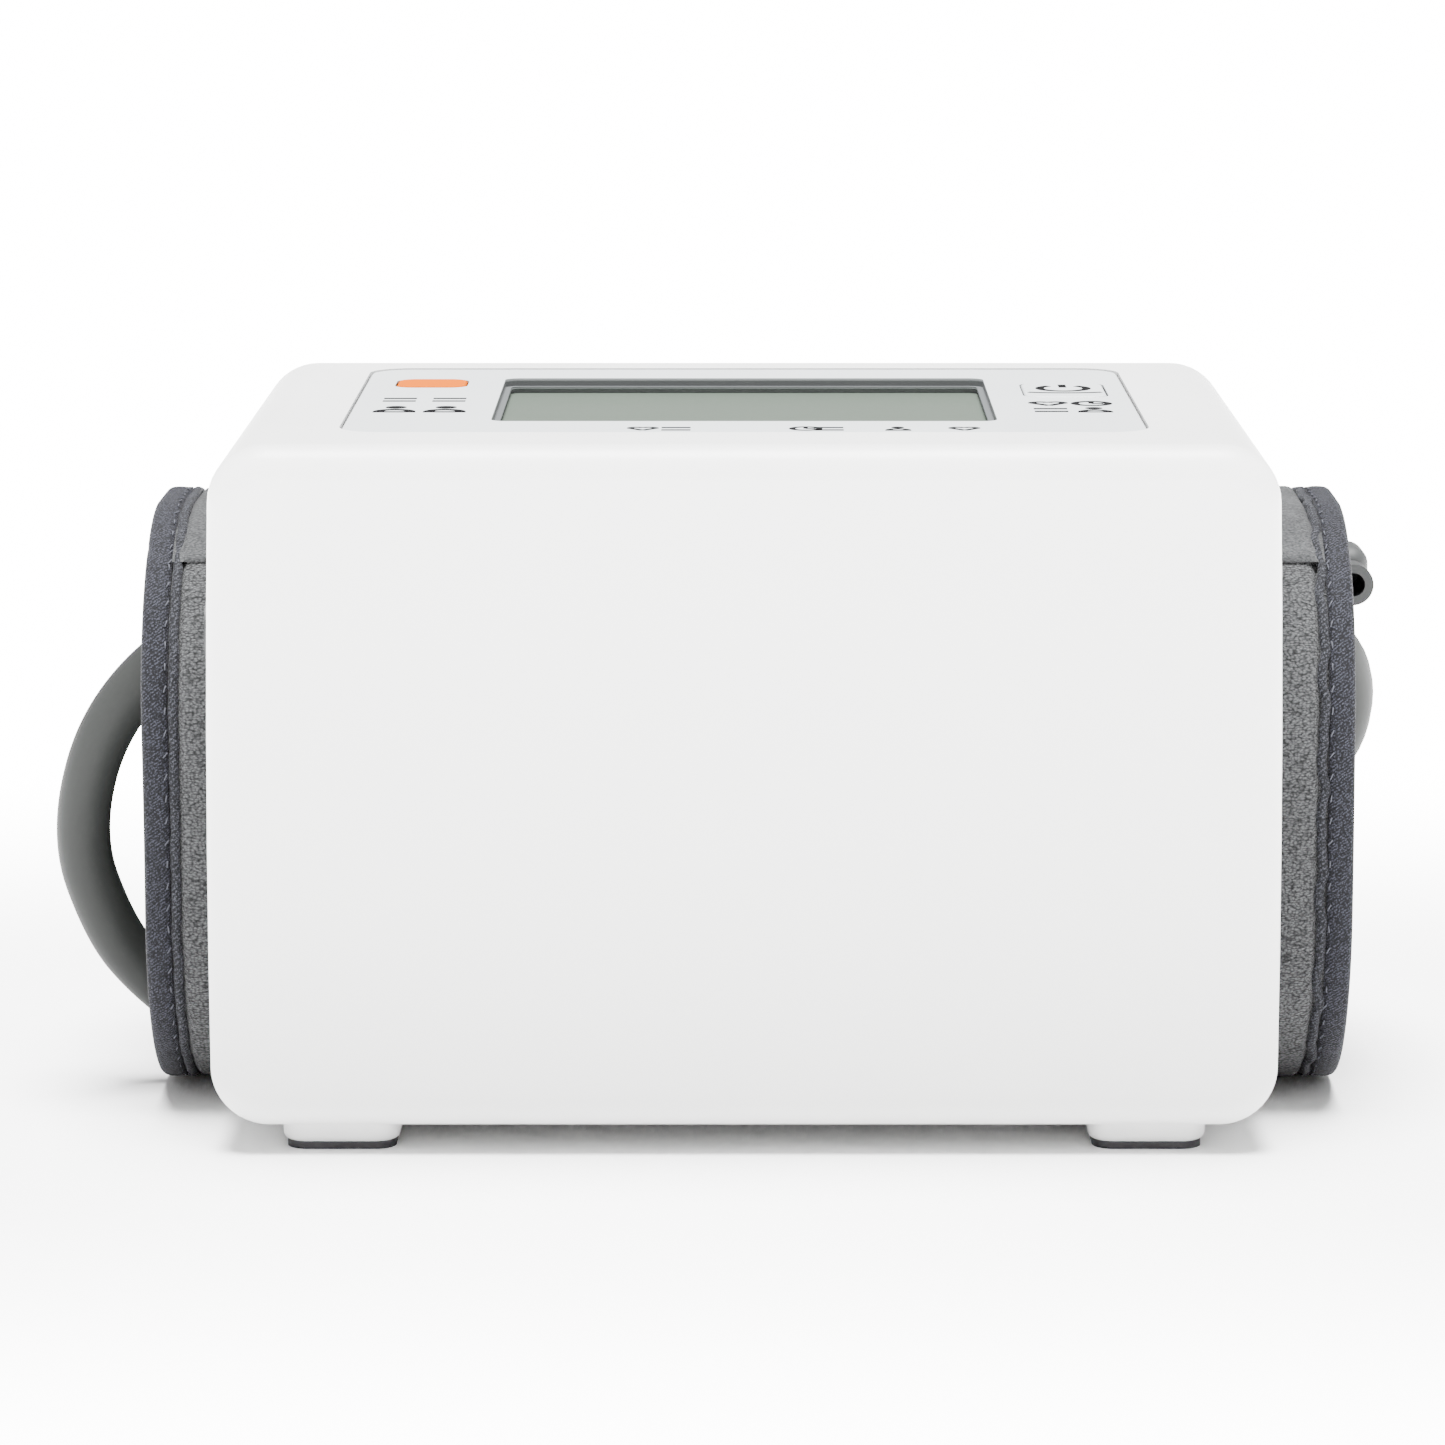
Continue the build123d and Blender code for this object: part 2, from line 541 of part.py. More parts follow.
def make_air_jack():
    y = -LEG_Y
    body = rod((JACK_MOUTH_X, JACK_Y, JACK_Z), (JACK_END_X, JACK_Y, JACK_Z), JACK_R)
    body += rod((-INNER_X + SIDE_BOW + 0.1, JACK_Y, JACK_Z), (-INNER_X + SIDE_BOW + 1.8, JACK_Y, JACK_Z),
                JACK_FLANGE_R)
    body += rod((JACK_END_X - 1, y, JACK_Z), (JACK_END_X + NOZZLE_LENGTH, y, JACK_Z), NOZZLE_R)
    body -= rod((JACK_MOUTH_X, JACK_Y, JACK_Z), (JACK_MOUTH_X + JACK_BORE_LENGTH, JACK_Y, JACK_Z), JACK_BORE_R)
    return body - rod((JACK_MOUTH_X, y, JACK_Z), (JACK_END_X + NOZZLE_LENGTH + 1, y, JACK_Z), NOZZLE_BORE_R)


# ---------------------------------------------------------------- power
def make_battery_tray():
    tray_back = min(CELL_Y + CELL_R - 0.7, HINGE_Y - 2.4)
    tray = block((-TRAY_HALF, TRAY_HALF), (TRAY_Y, tray_back), (TRAY_LOW, TRAY_TOP))
    inner = TRAY_HALF - TRAY_T
    return tray - block((-inner, inner), (TRAY_Y + TRAY_T, tray_back + 1), (TRAY_LOW + TRAY_T, TRAY_TOP - TRAY_T))


def make_cell(row, place):
    """One cell. Row 0 has its spring at the left end and row 1 at the right, and the nubs point away."""
    facing = 1 if row == 0 else -1
    start = -facing * (CELL_LENGTH - SPRING_LENGTH / 2) + facing * CELL_LENGTH * place
    can_end = start + facing * (CELL_LENGTH - CELL_NUB)
    z = CELL_Z[row]
    can = rod((start, CELL_Y, z), (can_end, CELL_Y, z), CELL_R)
    can = chamfer(can.edges(), 0.4)
    return can + rod((can_end, CELL_Y, z), (start + facing * CELL_LENGTH, CELL_Y, z), CELL_NUB_R)


def make_battery_spring(row):
    height = SPRING_LENGTH - 2 * SPRING_WIRE_R - 0.1
    coil = Helix(pitch=height / SPRING_TURNS, height=height, radius=SPRING_R)
    wire = sweep(Plane(origin=coil @ 0, z_dir=coil % 0) * Circle(SPRING_WIRE_R), path=coil)
    end_x = TRAY_HALF - TRAY_T - CONTACT_T
    low = -end_x if row == 0 else end_x - SPRING_LENGTH
    return Pos(low + SPRING_WIRE_R + 0.05, CELL_Y, CELL_Z[row]) * Rot(0, 90, 0) * wire


def make_contact(side):
    outer = side * (TRAY_HALF - TRAY_T)
    x = sorted((outer, outer - side * CONTACT_T))
    return block(x, (TRAY_Y + TRAY_T + 0.5, CELL_Y + CELL_R - 1.5), (CELL_Z[0] - 4, CELL_Z[1] + 4))


def make_battery_door():
    plate = block((-DOOR_HALF, DOOR_HALF), (BACK_Y - WALL, BACK_Y), (HINGE_Z, DOOR_TOP))
    door = plate + rod((-DOOR_HALF, HINGE_Y, HINGE_Z), (DOOR_HALF, HINGE_Y, HINGE_Z), WALL / 2)
    pin = DOOR_HALF + DOOR_PIN
    door += rod((-pin, HINGE_Y, HINGE_Z), (pin, HINGE_Y, HINGE_Z), DOOR_PIN_R)
    for step in range(3):
        z = DOOR_TOP - 3.5 - 2.2 * step
        door -= rod((-9 + step, BACK_Y + 0.5, z), (9 - step, BACK_Y + 0.5, z), 1.0)
    return door


# ---------------------------------------------------------------- cuff and hose
def make_roll_layer(outer_inset, inner_inset, x_low, x_high):
    return roll_prism(-outer_inset, x_low, x_high) - roll_prism(-inner_inset, x_low - 1, x_high + 1)


def hose_bends(route):
    """One bend radius for each inner point: as large as its two runs allow."""
    points = [Vector(*point) for point in route]
    radii = []
    for before, here, after in zip(points, points[1:], points[2:]):
        run_in = here - before
        run_out = after - here
        turn = math.radians(run_in.get_angle(run_out))
        radii.append(0.45 * min(run_in.length, run_out.length) / math.tan(turn / 2))
    return radii


def make_cuff_port():
    """The elbow that the hose leaves the cuff by: a disc on the lining and a slanted barrel."""
    tip = Vector(*HOSE_ROUTE[0])
    along = (Vector(*HOSE_ROUTE[1]) - tip).normalized()
    root = tip - along * PORT_LENGTH
    barrel = rod(tuple(root), tuple(tip), PORT_R)
    port = barrel + Pos(root.X + 2, root.Y + 1.5, CORE_LOW) * Cylinder(6.5, 2.4)
    port = port - rod(tuple(tip - along * 4), tuple(tip), HOSE_BORE_R)
    lining_core = roll_prism(-CUFF_T - 0.05, -ROLL_LENGTH, ROLL_LENGTH)
    return port & lining_core


def make_hose(radii):
    return tube_along(HOSE_ROUTE, HOSE_R, HOSE_BORE_R, radii)


def make_hose_plug():
    """A collar over the hose's end, a rounded block and an open socket that points to the front."""
    x, y, z = HOSE_ROUTE[-1]
    arrive = (Vector(*HOSE_ROUTE[-1]) - Vector(*HOSE_ROUTE[-2])).normalized()
    collar_end = Vector(x, y, z) + arrive * PLUG_COLLAR
    collar = rod((x, y, z), tuple(collar_end), PLUG_COLLAR_R)
    length, width, height = PLUG_BLOCK
    block_x = collar_end.X - 0.3
    body = Pos(block_x + length / 2, y, z) * Box(length, width, height)
    body = fillet(body.edges(), 2.2)
    plug = collar + body
    socket_x = block_x + length - PLUG_SOCKET_R + 0.2
    socket_y = y - width / 2 - PLUG_SOCKET
    plug += rod((socket_x, y, z - 0.4), (socket_x, socket_y, z - 0.4), PLUG_SOCKET_R)
    return plug - rod((socket_x, y, z - 0.4), (socket_x, socket_y - 1, z - 0.4), PLUG_BORE_R)


# ---------------------------------------------------------------- every piece by name
def make_pieces():
    outer = case_form(0)
    pieces = {"outer_shell": make_outer_shell(outer), "chassis": make_chassis(outer)}
    for corner in CORNERS:
        pieces["foot_pad_" + CORNER_NAMES[corner]] = make_foot_pad(*corner)
        pieces["case_screw_" + CORNER_NAMES[corner]] = make_case_screw(*corner)
    pieces["control_panel"] = make_control_panel()
    pieces["memory_button"] = make_key(MEMORY_KEY)
    pieces["start_button"] = make_key(START_KEY)
    pieces["lcd_bezel"] = make_lcd_bezel()
    pieces["lcd_lens"] = make_lcd_lens()
    pieces["lcd_glass"] = make_lcd_glass()
    pieces["backlight"] = make_backlight()
    pieces["connector_strip_front"] = make_connector_strip(-1)
    pieces["connector_strip_rear"] = make_connector_strip(1)
    pieces["circuit_board"] = make_circuit_board()
    pieces["processor"] = make_chip(-44.0, -6.0, 10.0, 10.0, 1.4)
    pieces["memory_chip"] = make_chip(44.0, -14.0, 6.0, 5.0, 1.2)
    pieces["crystal"] = make_chip(-44.0, -18.0, 8.0, 3.4, 1.8)
    pieces["memory_switch"] = make_switch(MEMORY_KEY)
    pieces["start_switch"] = make_switch(START_KEY)
    pieces["pressure_sensor"] = make_pressure_sensor()
    pieces["buzzer"] = make_buzzer()
    pieces["pump_motor"] = make_pump_motor()
    pieces["motor_shaft"] = make_motor_shaft()
    pieces["pump_eccentric"] = make_pump_eccentric()
    pieces["pump_head"] = make_pump_head()
    pieces["valve_body"] = make_valve_body()
    pieces["valve_plunger"] = make_valve_plunger()
    pieces["valve_cap"] = make_valve_cap()
    pieces["manifold"] = make_manifold()
    for name, points in air_tube_routes().items():
        pieces[name] = make_air_tube(points)
    pieces["air_jack"] = make_air_jack()
    pieces["battery_tray"] = make_battery_tray()
    for row in (0, 1):
        for place in (0, 1):
            pieces[f"cell_{2 * row + place + 1}"] = make_cell(row, place)
        pieces[f"battery_spring_{row + 1}"] = make_battery_spring(row)
    pieces["battery_contact_left"] = make_contact(-1)
    pieces["battery_contact_right"] = make_contact(1)
    pieces["battery_door"] = make_battery_door()
    left = ROLL_X - ROLL_LENGTH / 2
    right = ROLL_X + ROLL_LENGTH / 2
    pad = (left + BINDING_W, right - BINDING_W)
    pieces["cuff_cover"] = make_roll_layer(0, COVER_T, *pad)
    pieces["cuff_bladder"] = make_roll_layer(COVER_T, COVER_T + BLADDER_T, *pad)
    pieces["cuff_lining"] = make_roll_layer(COVER_T + BLADDER_T, CUFF_T, *pad)
    pieces["cuff_binding_left"] = make_roll_layer(0, CUFF_T, left, pad[0])
    pieces["cuff_binding_right"] = make_roll_layer(0, CUFF_T, pad[1], right)
    radii = hose_bends(HOSE_ROUTE)
    print("hose bend radii", [round(radius, 1) for radius in radii])
    pieces["cuff_port"] = make_cuff_port()
    pieces["hose"] = make_hose(radii)
    pieces["hose_plug"] = make_hose_plug()
    return pieces


if __name__ == "__main__":
    os.makedirs("parts", exist_ok=True)
    for name, piece in make_pieces().items():
        export_step(piece, f"parts/{name}.step")
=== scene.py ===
import json
import math

import bmesh
import bpy
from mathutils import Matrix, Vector


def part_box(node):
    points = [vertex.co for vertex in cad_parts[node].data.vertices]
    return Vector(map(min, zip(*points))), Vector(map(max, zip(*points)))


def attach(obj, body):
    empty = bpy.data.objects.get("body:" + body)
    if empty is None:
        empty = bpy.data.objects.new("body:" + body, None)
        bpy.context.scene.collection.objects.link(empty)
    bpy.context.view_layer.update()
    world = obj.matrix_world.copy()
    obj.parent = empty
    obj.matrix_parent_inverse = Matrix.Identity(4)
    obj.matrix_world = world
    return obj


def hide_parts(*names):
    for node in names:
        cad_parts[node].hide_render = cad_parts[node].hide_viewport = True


bl_info = {
    "name": "Arm blood pressure monitor looks",
    "version": (1, 0, 0),
    "blender": (4, 5, 0),
    "location": "3D View > Sidebar > Monitor",
    "description": "Rolled cuff, air hose, printed icons and finishes round the monitor's fixed frame",
    "category": "Object",
}

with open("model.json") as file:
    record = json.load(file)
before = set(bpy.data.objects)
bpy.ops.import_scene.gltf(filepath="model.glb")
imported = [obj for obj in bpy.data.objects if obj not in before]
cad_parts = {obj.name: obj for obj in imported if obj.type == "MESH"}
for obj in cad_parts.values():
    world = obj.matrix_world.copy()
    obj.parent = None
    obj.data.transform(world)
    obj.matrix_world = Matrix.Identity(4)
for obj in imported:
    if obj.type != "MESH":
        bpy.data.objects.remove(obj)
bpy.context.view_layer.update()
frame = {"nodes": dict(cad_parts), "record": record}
MM = 0.001

# The case and the roll, read from the frame
ROLL_LOW, ROLL_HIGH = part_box("cuff_cover")
LEFT_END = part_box("cuff_binding_left")[0][0]
RIGHT_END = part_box("cuff_binding_right")[1][0]
PANEL_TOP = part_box("control_panel")[1][2]

# The cuff's edges: the bound edge, the welt beside it and the pad's thin web under both
TAPE_WIDTH = 3.3 * MM
WELT_HALF_WIDTH = 0.62 * MM
WELT_OFFSET = 0.68 * MM
WEB_WIDTH = 1.35 * MM
PAD_ROUNDING = 0.9 * MM
STITCH_INSET = 0.30 * MM
STITCH_DEPTH = 0.20 * MM
BRUSHED_LENGTH = 60 * MM
PRESSED_LENGTH = 8 * MM

# The stage: the paper is unlit round the object, and its glow grows with the distance from there
FLOOR_HALF = 9.0
UNLIT_HALF_WIDTH = 80 * MM
UNLIT_HALF_DEPTH = 50 * MM
GLOW_START = 12 * MM
GLOW_FULL = 170 * MM

# The hose's centre line: a bight at the left, back through the roll, a bight at the right
HOSE_ROUTE = [
    (-0.07120, -0.00850, 0.01065),
    (-0.07470, -0.00910, 0.01360),
    (-0.07945, -0.00990, 0.01970),
    (-0.08350, -0.01140, 0.03230),
    (-0.07890, -0.01260, 0.04850),
    (-0.06520, -0.01240, 0.06000),
    (-0.03000, -0.01050, 0.06090),
    (0.02500, -0.01240, 0.06120),
    (0.07640, -0.01150, 0.06200),
    (0.07640, 0.01950, 0.02950),
    (0.02000, 0.01750, 0.02050),
    (-0.04800, 0.01550, 0.01930),
    (-0.04800, 0.00160, 0.06240),
    (0.01000, 0.00540, 0.06160),
    (0.06180, 0.00600, 0.06260),
]


# ---------------------------------------------------------------- settings a user would change
class CuffSettings(bpy.types.PropertyGroup):
    corner: bpy.props.FloatProperty(
        name="Corner radius", description="Outer corner radius of the roll seen from its end",
        default=25 * MM, unit="LENGTH")
    pitch: bpy.props.FloatProperty(
        name="Layer pitch", description="Distance from one turn of the roll to the next",
        default=2.4 * MM, unit="LENGTH")
    thickness: bpy.props.FloatProperty(
        name="Layer thickness", description="Thickness of the padded cuff", default=2.3 * MM, unit="LENGTH")
    turns: bpy.props.FloatProperty(
        name="Turns", description="How many times the cuff goes round", default=1.88)
    tuck: bpy.props.FloatProperty(
        name="Tuck", description="Length over which the cuff sinks in under its own flap",
        default=12 * MM, unit="LENGTH")
    stitch: bpy.props.FloatProperty(
        name="Stitch", description="Distance from one stitch to the next", default=2.7 * MM, unit="LENGTH")
    flap_angle: bpy.props.FloatProperty(
        name="Flap end", description="Where the outer end lies on the front top corner, above level",
        default=math.radians(51), subtype="ANGLE")
    pile: bpy.props.FloatVectorProperty(
        name="Pile", description="Colour of the looped pile", subtype="COLOR", size=3,
        default=(0.040, 0.041, 0.0423))
    tape: bpy.props.FloatVectorProperty(
        name="Bound edge", description="Colour of the bound edge", subtype="COLOR", size=3,
        default=(0.0112, 0.0116, 0.0156))
    welt: bpy.props.FloatVectorProperty(
        name="Welt", description="Colour of the welt beside the bound edge", subtype="COLOR", size=3,
        default=(0.0165, 0.0172, 0.0208))


class HoseSettings(bpy.types.PropertyGroup):
    diameter: bpy.props.FloatProperty(
        name="Diameter", description="Outer diameter of the air hose", default=6.7 * MM, unit="LENGTH")
    length: bpy.props.FloatProperty(
        name="Length", description="Length of the air hose", default=0.487, unit="LENGTH")
    color: bpy.props.FloatVectorProperty(
        name="Colour", description="Colour of the hose", subtype="COLOR", size=3,
        default=(0.0205, 0.0215, 0.0208))


class CaseSettings(bpy.types.PropertyGroup):
    shell: bpy.props.FloatVectorProperty(
        name="Case", description="Colour of the case", subtype="COLOR", size=3, default=(0.71, 0.71, 0.705))
    panel: bpy.props.FloatVectorProperty(
        name="Panel", description="Colour of the top panel", subtype="COLOR", size=3,
        default=(0.50, 0.52, 0.53))
    key: bpy.props.FloatVectorProperty(
        name="Memory key", description="Colour of the memory key", subtype="COLOR", size=3,
        default=(0.41, 0.080, 0.0))
    screen: bpy.props.FloatVectorProperty(
        name="Screen", description="Colour of the blank display", subtype="COLOR", size=3,
        default=(0.060, 0.078, 0.060))
    ink: bpy.props.FloatVectorProperty(
        name="Ink", description="Colour of the printed icons", subtype="COLOR", size=3,
        default=(0.0025, 0.0025, 0.0030))


class StageSettings(bpy.types.PropertyGroup):
    distance: bpy.props.FloatProperty(
        name="Camera distance", description="Camera in front of the middle of the case",
        default=0.7110, unit="LENGTH")
    height: bpy.props.FloatProperty(
        name="Camera height", description="Camera above the table", default=0.1697, unit="LENGTH")
    pitch: bpy.props.FloatProperty(
        name="Camera pitch", description="How far the camera looks down", default=math.radians(10),
        subtype="ANGLE")
    lens: bpy.props.FloatProperty(name="Lens", description="Focal length in millimetres", default=142.35)
    shift: bpy.props.FloatProperty(name="Shift", description="Sideways shift of the lens", default=-0.015)


# ---------------------------------------------------------------- materials
class Wire:
    """A shader socket that takes part in arithmetic."""

    def __init__(self, finish, socket):
        self.finish = finish
        self.socket = socket

    def math(self, operation, *values):
        return self.finish.node("ShaderNodeMath", {"operation": operation}, dict(enumerate(values)))

    def __add__(self, other):
        return self.math("ADD", self, other)

    __radd__ = __add__

    def __sub__(self, other):
        return self.math("SUBTRACT", self, other)

    def __rsub__(self, other):
        return self.math("SUBTRACT", other, self)

    def __mul__(self, other):
        return self.math("MULTIPLY", self, other)

    __rmul__ = __mul__

    def __truediv__(self, other):
        return self.math("DIVIDE", self, other)

    def __pow__(self, other):
        return self.math("POWER", self, other)

    def wave(self):
        return self.math("SINE", self)

    def above(self, other):
        return self.math("MAXIMUM", self, other)


class Finish:
    """A material being built: its node tree, its surface shader and short ways to add nodes."""

    def __init__(self, name, color, roughness, metallic=0.0):
        self.material = bpy.data.materials.new(name)
        self.material.use_nodes = True
        self.tree = self.material.node_tree
        self.surface = self.tree.nodes["Principled BSDF"]
        self.color = tuple(color)
        self.put("Base Color", (*color, 1.0))
        self.put("Roughness", roughness)
        self.put("Metallic", metallic)
        self.material.diffuse_color = (*color, 1.0)

    def put(self, name, value):
        """Set or link a socket of the surface shader."""
        self._feed(self.surface.inputs[name], value)

    def _feed(self, socket, value):
        if isinstance(value, Wire):
            self.tree.links.new(value.socket, socket)
        else:
            socket.default_value = value

    def node(self, kind, settings=None, inputs=None, output=0):
        """Add a node: its settings first, then the values or links of its sockets."""
        node = self.tree.nodes.new(kind)
        for name, value in (settings or {}).items():
            setattr(node, name, value)
        for name, value in (inputs or {}).items():
            self._feed(node.inputs[name], value)
        return Wire(self, node.outputs[output])

    def place(self, source="Object", stretch=(1, 1, 1)):
        """Where a point is, in the piece's own coordinates or its UV map."""
        where = self.node("ShaderNodeTexCoord", output=source)
        return self.node("ShaderNodeMapping", {}, {"Vector": where, "Scale": stretch})

    def noise(self, where, scale, detail=3.0, rough=0.55):
        return self.node("ShaderNodeTexNoise", {},
                         {"Vector": where, "Scale": scale, "Detail": detail, "Roughness": rough})

    def cells(self, where, scale, feature="F1", randomness=0.7):
        return self.node("ShaderNodeTexVoronoi", {"feature": feature},
                         {"Vector": where, "Scale": scale, "Randomness": randomness})

    def axes(self, where):
        split = self.node("ShaderNodeSeparateXYZ", {}, {"Vector": where})
        outputs = split.socket.node.outputs
        return [Wire(self, outputs[index]) for index in range(3)]

    def ramp(self, value, low, high):
        return self.node("ShaderNodeMapRange", {"interpolation_type": "SMOOTHSTEP"},
                         {"Value": value, "From Min": low, "From Max": high})

    def blend(self, factor, first, second):
        """Mix two colours; each is a tuple or a wire."""
        node = self.tree.nodes.new("ShaderNodeMix")
        node.data_type = "RGBA"
        self._feed(node.inputs[0], factor)
        for socket, value in ((node.inputs[6], first), (node.inputs[7], second)):
            self._feed(socket, value if isinstance(value, Wire) else (*value, 1.0))
        return Wire(self, node.outputs[2])

    def bump(self, height, distance, strength=1.0):
        self.put("Normal", self.node("ShaderNodeBump", {},
                                     {"Height": height, "Distance": distance, "Strength": strength}))


def tint(color, factor):
    return tuple(min(1.0, channel * factor) for channel in color)


def moulded_plastic(name, color, roughness, grain=0.35, coat=0.0, shine=0.3):
    """Moulded plastic: a fine spark-eroded grain, a slight cast in its tone and worn-smooth patches."""
    finish = Finish(name, color, roughness)
    finish.put("Specular IOR Level", shine)
    where = finish.place()
    grain_height = finish.noise(where, 1 / (grain * MM), detail=2.0)
    clouds = finish.noise(where, 45.0, detail=3.0)
    finish.put("Base Color", finish.blend(clouds, tint(color, 0.985), tint(color, 1.015)))
    finish.put("Roughness", roughness - 0.05 + clouds * 0.10)
    finish.put("Coat Weight", coat)
    finish.bump(grain_height + clouds * 0.4, 0.006 * MM, 0.5)
    return finish.material


def drawn_metal(name, color, roughness):
    """Rolled or drawn metal, with fine lines along X and dull spots."""
    finish = Finish(name, color, roughness, metallic=1.0)
    where = finish.place(stretch=(0.08, 1, 1))
    lines = finish.noise(where, 2600.0, detail=3.0)
    spots = finish.noise(finish.place(), 160.0, detail=4.0)
    finish.put("Base Color", finish.blend(spots, tint(color, 0.88), tint(color, 1.08)))
    finish.put("Roughness", roughness - 0.08 + spots * 0.2)
    finish.bump(lines, 0.006 * MM, 0.5)
    return finish.material


def moulded_rubber(name, color, roughness=0.55):
    """Rubber with a dusty bloom and a faint ground texture."""
    finish = Finish(name, color, roughness)
    where = finish.place()
    bloom = finish.noise(where, 140.0, detail=4.0)
    fine = finish.noise(where, 2400.0, detail=2.0)
    finish.put("Base Color", finish.blend(bloom, tint(color, 0.86), tint(color, 1.14)))
    finish.put("Roughness", roughness - 0.06 + bloom * 0.12)
    finish.bump(fine + bloom, 0.010 * MM, 0.4)
    return finish.material


def panel_plastic(color, outer_gap_shade, display_wall_shade):
    """The top panel: smooth moulded plastic; its cut edges below the top face carry painted shade, near black
    at the outer gaps and dark grey round the display.
    """
    finish = Finish("panel_plastic", color, 0.42)
    finish.put("Specular IOR Level", 0.3)
    where = finish.place()
    aside, _, height = finish.axes(where)
    # Painted shade on the panel's cut edges: near black at the outer gaps, dark grey on the walls round the
    # display.
    edge = finish.blend(finish.ramp(aside.math("ABSOLUTE", aside), 38 * MM, 42 * MM), display_wall_shade, outer_gap_shade)
    face = finish.ramp(height, PANEL_TOP - 0.42 * MM, PANEL_TOP - 0.12 * MM)
    clouds = finish.noise(where, 45.0)
    grain = finish.noise(where, 5000.0, detail=2.0)
    plain_face = finish.blend(clouds, tint(color, 0.985), tint(color, 1.015))
    finish.put("Base Color", finish.blend(face, edge, plain_face))
    finish.put("Roughness", 0.38 + clouds * 0.08)
    finish.bump(grain, 0.004 * MM, 0.4)
    return finish.material


def bezel_plastic(face, wall_painted_light):
    """The display's frame: dark on its face, with a paler matt grey painted on the walls that go down to the
    glass as painted light, lifting their shade.
    """
    finish = Finish("bezel_plastic", face, 0.6)
    finish.put("Specular IOR Level", 0.1)
    where = finish.place()
    _, _, height = finish.axes(where)
    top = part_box("lcd_bezel")[1][2]
    # Painted light: the walls below the face get the paler colour, to lift the shade in the recess.
    level = finish.ramp(height, top - 0.16 * MM, top - 0.04 * MM)
    clouds = finish.noise(where, 45.0)
    finish.put("Base Color", finish.blend(level, wall_painted_light, finish.blend(clouds, face, tint(face, 1.05))))
    finish.put("Roughness", 0.55 + clouds * 0.1)
    return finish.material


def clear_window():
    """Clear sheet over the display: mostly see-through, with a faint sheen and smears."""
    finish = Finish("display_window", (0.10, 0.11, 0.105), 0.12)
    finish.put("Alpha", 0.08)
    finish.put("IOR", 1.3)
    smears = finish.noise(finish.place(), 90.0, detail=3.0)
    finish.put("Roughness", 0.08 + smears * 0.10)
    return finish.material


def blank_screen(color):
    """A liquid crystal glass with nothing on it: grey green, with the faint grid of its electrodes."""
    finish = Finish("blank_screen", color, 0.5)
    finish.put("Specular IOR Level", 0.25)
    x, y, _ = finish.axes(finish.place())
    grid = (x * 5200.0).wave().above((y * 5200.0).wave())
    clouds = finish.noise(finish.place(), 30.0, detail=2.0)
    faint = grid * 0.06 + clouds * 0.3
    finish.put("Base Color", finish.blend(faint, color, tint(color, 1.2)))
    finish.put("Roughness", 0.46 + clouds * 0.08)
    return finish.material


def circuit_laminate():
    """Green laminate with paler copper tracks under the varnish."""
    color = (0.02, 0.13, 0.05)
    finish = Finish("circuit_laminate", color, 0.35)
    tracks = finish.cells(finish.place(), 260.0, feature="DISTANCE_TO_EDGE", randomness=0.3)
    lines = finish.ramp(tracks, 0.02, 0.08)
    finish.put("Base Color", finish.blend(lines, (0.05, 0.24, 0.09), color))
    finish.bump(lines, 0.03 * MM, 0.3)
    return finish.material


def looped_pile(color, smooth_to):
    """The cuff's pile: small loops in loose rows. The flap's first stretch is brushed smooth."""
    finish = Finish("cuff_pile", color, 0.95)
    finish.put("Specular IOR Level", 0.1)
    where = finish.place(stretch=(0.6, 1, 1))
    wobble = finish.node("ShaderNodeVectorMath", {"operation": "SCALE"},
                         {0: finish.noise(where, 900.0, detail=2.0), "Scale": 0.5 * MM})
    loops = finish.cells(finish.node("ShaderNodeVectorMath", {"operation": "ADD"}, {0: where, 1: wobble}),
                         3700.0, randomness=0.8)
    fuzz = finish.noise(where, 5200.0, detail=3.0)
    patches = finish.noise(finish.place(), 170.0, detail=3.0)
    along, _, _ = finish.axes(finish.place("UV"))
    brushed = 1.0 - finish.ramp(along, smooth_to * 0.9, smooth_to)
    height = 1.0 - loops * 1.1 + fuzz * 0.5
    # Painted shade and light: the pile's colour follows its relief, darker in the hollows between loops and
    # lighter on their tops; the flap's nap follows it more weakly.
    shade = finish.ramp(height + patches * 0.10, 0.30, 1.35)
    pile = finish.blend(shade, tint(color, 0.28), tint(color, 2.0))
    nap = finish.ramp(height * 0.35 + fuzz * 0.7 + patches * 0.4, 0.45, 1.25)
    flap = finish.blend(nap, tint(color, 0.42), tint(color, 1.75))
    finish.put("Base Color", finish.blend(brushed, pile, flap))
    finish.put("Sheen Weight", 0.05)
    finish.put("Sheen Roughness", 0.5)
    finish.bump(height * (1.0 - brushed * 0.6), 0.30 * MM, 0.9)
    return finish.material


def woven_tape(name, color, thread=0.42, grain=0.24, depth=0.10):
    """Bound edge and welt: close fabric with a slanting rib and uneven dye; its colour follows the relief,
    with painted shade in the hollows and painted light on the raised yarn.
    """
    finish = Finish(name, color, 0.8)
    finish.put("Specular IOR Level", 0.15)
    along, across, _ = finish.axes(finish.place("UV"))
    where = finish.place()
    wander = finish.noise(where, 600.0, detail=2.0)
    turn = 2 * math.pi / (thread * MM)
    rib = ((along + across * 0.7) * turn + wander * 7.0).wave()
    yarn = finish.cells(where, 1 / (grain * MM), randomness=1.0)
    fuzz = finish.noise(where, 5200.0, detail=3.0)
    dye = finish.noise(where, 130.0, detail=3.0)
    height = rib * 0.16 - yarn * 1.1 + fuzz * 0.9
    # Painted shade and light: the colour follows the relief, darker between rib and yarn and lighter on their
    # tops; the dye term adds real uneven tone.
    shade = finish.ramp(height + dye * 0.10, -0.20, 0.42)
    finish.put("Base Color", finish.blend(shade, tint(color, 0.28), tint(color, 2.6)))
    finish.put("Sheen Weight", 0.04)
    finish.put("Sheen Roughness", 0.4)
    finish.bump(height, depth * MM, 0.8)
    return finish.material


